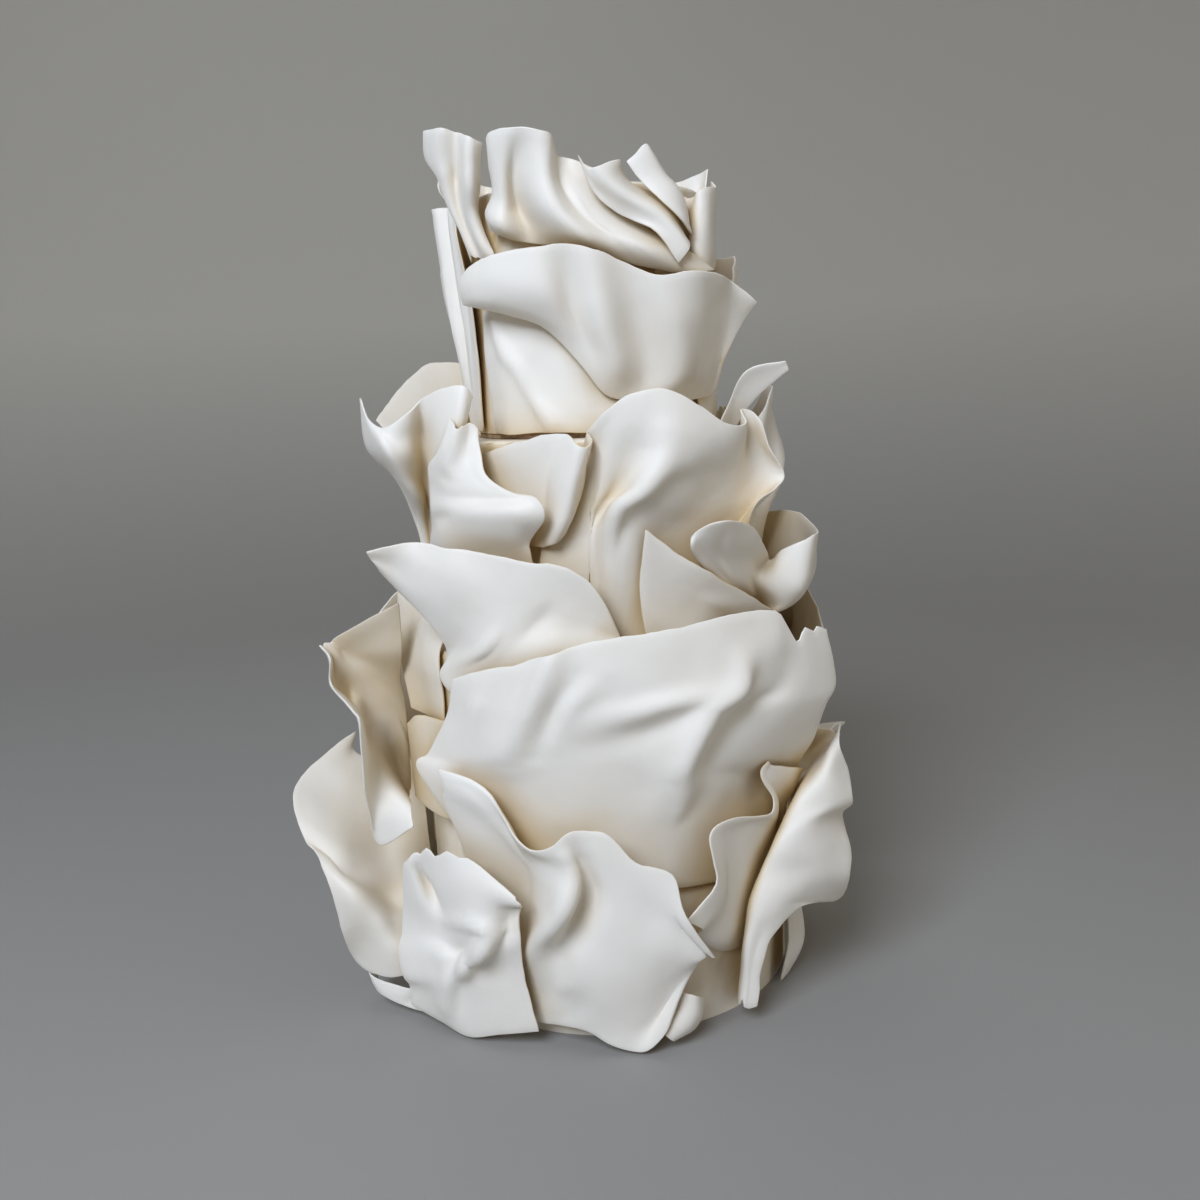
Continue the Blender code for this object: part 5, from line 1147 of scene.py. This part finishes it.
def icing_material(name, light, deep, seed):
    """Rolled icing: creamy, satin, with faint pits and rubs, and painted shade that makes it
    darker and warmer in the hollows.
    """
    made = bpy.data.materials.new(name)
    made.use_nodes = True
    tree = made.node_tree
    link = tree.links.new
    shader = tree.nodes["Principled BSDF"]
    place = tree.nodes.new("ShaderNodeTexCoord")
    move = node_at(tree, "ShaderNodeMapping", -1400, 0, Location=(seed, seed * 0.7, seed * 0.3))
    link(place.outputs["Object"], move.inputs["Vector"])
    spots = node_at(tree, "ShaderNodeTexNoise", -1100, 300, Scale=14.0, Detail=4.0,
                    Roughness=0.55)
    tone = tree.nodes.new("ShaderNodeValToRGB")
    tone.color_ramp.elements[0].position = 0.3
    tone.color_ramp.elements[0].color = (*deep, 1.0)
    tone.color_ramp.elements[1].position = 0.7
    tone.color_ramp.elements[1].color = (*light, 1.0)
    link(move.outputs["Vector"], spots.inputs["Vector"])
    link(spots.outputs["Fac"], tone.inputs["Fac"])
    # Painted shade: where a vertex is less open, the base colour is multiplied toward the darker,
    # warmer tint
    depth = tree.nodes.new("ShaderNodeAttribute")
    depth.attribute_name = "painted_shade_openness"
    level = node_at(tree, "ShaderNodeMapRange", -600, 500, From_Min=SHADE_PAINT_FROM, From_Max=SHADE_PAINT_TO,
                    To_Min=1.0, To_Max=0.0)
    level.interpolation_type = "SMOOTHSTEP"
    blend = tree.nodes.new("ShaderNodeMix")
    blend.data_type = "RGBA"
    blend.blend_type = "MULTIPLY"
    link(depth.outputs["Fac"], level.inputs["Value"])
    link(level.outputs["Result"], blend.inputs["Factor"])
    link(tone.outputs["Color"], blend.inputs[6])
    blend.inputs[7].default_value = (*SHADE_PAINT_TINT, 1.0)
    link(blend.outputs[2], shader.inputs["Base Color"])
    rub = node_at(tree, "ShaderNodeTexNoise", -1100, 0, Scale=60.0, Detail=3.0, Roughness=0.6)
    gloss = node_at(tree, "ShaderNodeMapRange", -800, 0, From_Min=0.3, From_Max=0.7,
                    To_Min=0.46, To_Max=0.6)
    link(move.outputs["Vector"], rub.inputs["Vector"])
    link(rub.outputs["Fac"], gloss.inputs["Value"])
    link(gloss.outputs["Result"], shader.inputs["Roughness"])
    dust = node_at(tree, "ShaderNodeTexNoise", -1100, -300, Scale=420.0, Detail=3.0,
                   Roughness=0.5)
    hand = node_at(tree, "ShaderNodeTexNoise", -1100, -550, Scale=75.0, Detail=2.0,
                   Roughness=0.5)
    fine = node_at(tree, "ShaderNodeBump", -500, -300, Strength=0.10, Distance=0.0004)
    soft = node_at(tree, "ShaderNodeBump", -250, -450, Strength=0.22, Distance=0.0012)
    link(move.outputs["Vector"], dust.inputs["Vector"])
    link(move.outputs["Vector"], hand.inputs["Vector"])
    link(dust.outputs["Fac"], fine.inputs["Height"])
    link(hand.outputs["Fac"], soft.inputs["Height"])
    link(fine.outputs["Normal"], soft.inputs["Normal"])
    link(soft.outputs["Normal"], shader.inputs["Normal"])
    shader.inputs["IOR"].default_value = 1.45
    shader.inputs["Specular IOR Level"].default_value = 0.42
    shader.inputs["Sheen Weight"].default_value = 0.06
    shader.inputs["Sheen Roughness"].default_value = 0.5
    return made


def card_material():
    """Brown cake card with a fibrous edge."""
    made = bpy.data.materials.new("cake_card")
    made.use_nodes = True
    tree = made.node_tree
    link = tree.links.new
    shader = tree.nodes["Principled BSDF"]
    place = tree.nodes.new("ShaderNodeTexCoord")
    fibre = node_at(tree, "ShaderNodeTexNoise", -800, 200, Scale=240.0, Detail=5.0)
    tone = tree.nodes.new("ShaderNodeValToRGB")
    tone.color_ramp.elements[0].position = 0.35
    tone.color_ramp.elements[0].color = (0.30, 0.19, 0.10, 1.0)
    tone.color_ramp.elements[1].position = 0.65
    tone.color_ramp.elements[1].color = (0.44, 0.30, 0.17, 1.0)
    bump = node_at(tree, "ShaderNodeBump", -300, -200, Strength=0.3, Distance=0.0004)
    link(place.outputs["Object"], fibre.inputs["Vector"])
    link(fibre.outputs["Fac"], tone.inputs["Fac"])
    link(tone.outputs["Color"], shader.inputs["Base Color"])
    link(fibre.outputs["Fac"], bump.inputs["Height"])
    link(bump.outputs["Normal"], shader.inputs["Normal"])
    shader.inputs["Roughness"].default_value = 0.85
    return made


def stage_material():
    """Matt grey floor that turns into a paler wall: painted light, making the wall lighter
    because the lamps reach it less than the floor.
    """
    made = bpy.data.materials.new("stage_paint")
    made.use_nodes = True
    tree = made.node_tree
    link = tree.links.new
    shader = tree.nodes["Principled BSDF"]
    place = tree.nodes.new("ShaderNodeTexCoord")
    split = tree.nodes.new("ShaderNodeSeparateXYZ")
    level = node_at(tree, "ShaderNodeMapRange", -700, 100, From_Min=0.0, From_Max=0.6)
    tone = tree.nodes.new("ShaderNodeValToRGB")
    tone.color_ramp.elements[0].color = (0.315, 0.305, 0.285, 1.0)
    tone.color_ramp.elements[1].color = (0.54, 0.52, 0.47, 1.0)
    link(place.outputs["Object"], split.inputs["Vector"])
    link(split.outputs["Z"], level.inputs["Value"])
    link(level.outputs["Result"], tone.inputs["Fac"])
    link(tone.outputs["Color"], shader.inputs["Base Color"])
    shader.inputs["Roughness"].default_value = 0.9
    shader.inputs["Specular IOR Level"].default_value = 0.1
    return made


def build_stage():
    """Floor that curves up into a round wall."""
    floor_reach = 1.3
    bend = 1.7
    wall_top = 3.6
    profile = [(0.0, 0.0), (0.6, 0.0), (floor_reach, 0.0)]
    for k in range(1, 13):
        turn = math.radians(7.5 * k)
        profile.append((floor_reach + bend * math.sin(turn), bend * (1 - math.cos(turn))))
    profile.append((floor_reach + bend, wall_top))
    sides = 96
    verts = []
    for reach, height in profile:
        for k in range(sides):
            angle = 2 * math.pi * k / sides
            verts.append((reach * math.cos(angle), reach * math.sin(angle), height))
    faces = []
    for ring in range(len(profile) - 1):
        for k in range(sides):
            nxt = (k + 1) % sides
            low = ring * sides
            high = low + sides
            if ring == 0:
                faces.append((low, high + k, high + nxt))
            else:
                faces.append((low + k, high + k, high + nxt, low + nxt))
    mesh = bpy.data.meshes.new("studio_floor")
    mesh.from_pydata(verts, [], faces)
    mesh.materials.append(stage_material())
    mesh.shade_smooth()
    floor = bpy.data.objects.new("studio_floor", mesh)
    bpy.context.scene.collection.objects.link(floor)


def build_light():
    """Soft daylight from the upper left, a weak fill and a dim sky."""
    for name, place, size, power, colour in LIGHTS:
        lamp = bpy.data.lights.new(name, "AREA")
        lamp.size = size
        lamp.energy = power
        lamp.color = colour
        item = bpy.data.objects.new(name, lamp)
        item.location = place
        aim = Vector((0.0, 0.0, 0.28)) - Vector(place)
        item.rotation_euler = aim.to_track_quat("-Z", "Y").to_euler()
        bpy.context.scene.collection.objects.link(item)
    world = bpy.data.worlds.new("sky")
    bpy.context.scene.world = world
    world.use_nodes = True
    sky = world.node_tree.nodes["Background"]
    sky.inputs["Color"].default_value = (*SKY_COLOUR, 1.0)
    sky.inputs["Strength"].default_value = SKY_STRENGTH


def build_camera():
    """The photograph's point of view: a little above the middle, tilted down."""
    pitch = math.radians(CAMERA_PITCH)
    roll = math.radians(CAMERA_ROLL)
    ahead = Vector((0.0, math.cos(pitch), -math.sin(pitch)))
    side = Vector((1.0, 0.0, 0.0))
    up = side.cross(ahead)
    across = math.cos(roll) * side + math.sin(roll) * up
    above = -math.sin(roll) * side + math.cos(roll) * up
    lens = bpy.data.cameras.new("camera")
    lens.lens = LENS
    lens.sensor_width = SENSOR
    lens.clip_end = 20.0
    item = bpy.data.objects.new("camera", lens)
    bpy.context.scene.collection.objects.link(item)
    item.matrix_world = Matrix((
        (across.x, above.x, -ahead.x, CAMERA_PLACE[0]),
        (across.y, above.y, -ahead.y, CAMERA_PLACE[1]),
        (across.z, above.z, -ahead.z, CAMERA_PLACE[2]),
        (0.0, 0.0, 0.0, 1.0)))
    bpy.context.scene.camera = item


# Tears in the rims of two sheets: place along the rim, half width and depth as shares
TEARS = {
    "big_front": [(0.9, 0.035, 0.075), (0.955, 0.02, 0.03)],
    "left_front_leaf": [(0.38, 0.09, 0.035), (0.55, 0.07, 0.05), (0.68, 0.05, 0.02)],
}

# Painted shade: how open the hollows of some sheets count at the root and at the rim, as the
# photo shows; lower values paint those faces darker and warmer
PAINTED_SHADE_OTHERS = (0.88, 1.0)
PAINTED_SHADE_SCALES = {
    "left_big_petal": (0.74, 0.8),
    "left_small": (0.66, 0.68),
    "left_shade_panel": (0.7, 0.76),
    "left_back_leaf": (0.72, 0.74),
    "left_twist": (0.6, 1.0),
    "centre_tube": (0.82, 0.95),
    "crown_centre": (0.8, 1.0),
}

# Name, place, size, power and colour of each lamp
LIGHTS = [
    ("key", (-0.78, -1.72, 1.72), 1.1, 54.0, (0.76, 0.84, 1.0)),
    ("right", (1.9, -1.1, 0.9), 1.6, 7.0, (1.0, 0.90, 0.76)),
    ("rear", (-0.6, 2.2, 2.6), 1.8, 14.0, (0.86, 0.92, 1.0)),
]
SKY_COLOUR = (1.0, 0.92, 0.80)
SKY_STRENGTH = 0.2

bpy.context.scene.view_settings.view_transform = "Standard"
build_camera()
build_stage()
build_light()

IVORY = icing_material("icing_ivory", (0.90, 0.86, 0.78), (0.87, 0.825, 0.73), 0.0)
# The tiers' icing is darker and warmer than the sheets' as painted shade, since the tiers show
# only in the hollows between the sheets
TIER_SHADED_IVORY = icing_material("icing_tier", (0.88, 0.81, 0.68), (0.84, 0.76, 0.62), 3.0)

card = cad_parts["tier_card"]
card.data.materials.clear()
card.data.materials.append(card_material())

coarse_laid = []
fine_laid = []
fine_sheets = []
for number, sheet in enumerate(ORDER):
    raw = opened(sheet_grid(sheet, *sheet["cells"]), SHEET_THICKNESS)
    coarse = raw
    for _ in range(SETTLE_PASSES):
        coarse = opened(settle(coarse, coarse_laid), SHEET_THICKNESS)
    coarse_laid.append(coarse)
    cell = BACK_CELL if sheet["name"] in BACK else FINE_CELL
    cells = fine_cells(sheet, cell)
    fine = sheet_grid(sheet, *cells) + stretched(coarse - raw, *cells)
    fine = opened(fine, SHEET_THICKNESS)
    fine = torn(worked_by_hand(fine, number), TEARS.get(sheet["name"], ()))
    fine = cleared(fine, fine_laid)
    fine = opened(fine, SHEET_THICKNESS)
    fine_laid.append(thinned(fine))
    fine_sheets.append(fine)

whole = cake_tree(fine_laid)
for sheet, fine in zip(ORDER, fine_sheets):
    # Painted shade: openness of each face, scaled for some sheets from root to rim, which darkens
    # and warms the base colour
    shares = sheet_openness(fine, whole)
    at_root, at_rim = PAINTED_SHADE_SCALES.get(sheet["name"], PAINTED_SHADE_OTHERS)
    v = np.repeat(np.linspace(0.0, 1.0, fine.shape[0]), fine.shape[1])
    shares = [share * (at_root + (at_rim - at_root) * v * (2.0 - v)) for share in shares]
    icing_sheet(sheet["name"], fine, IVORY, shares)
round_tier("cake_bottom", "tier_bottom", BOTTOM_RADIUS, 0.0, BOTTOM_TOP - TIER_GAP,
           TIER_EDGE, TIER_SHADED_IVORY, whole)
round_tier("cake_middle", "tier_middle", MIDDLE_RADIUS, BOTTOM_TOP, MIDDLE_TOP - TIER_GAP,
           TIER_EDGE, TIER_SHADED_IVORY, whole)
round_tier("cake_top", "tier_top", TOP_RADIUS, MIDDLE_TOP + CARD_THICKNESS, TOP_TOP,
           TIER_EDGE, TIER_SHADED_IVORY, whole)
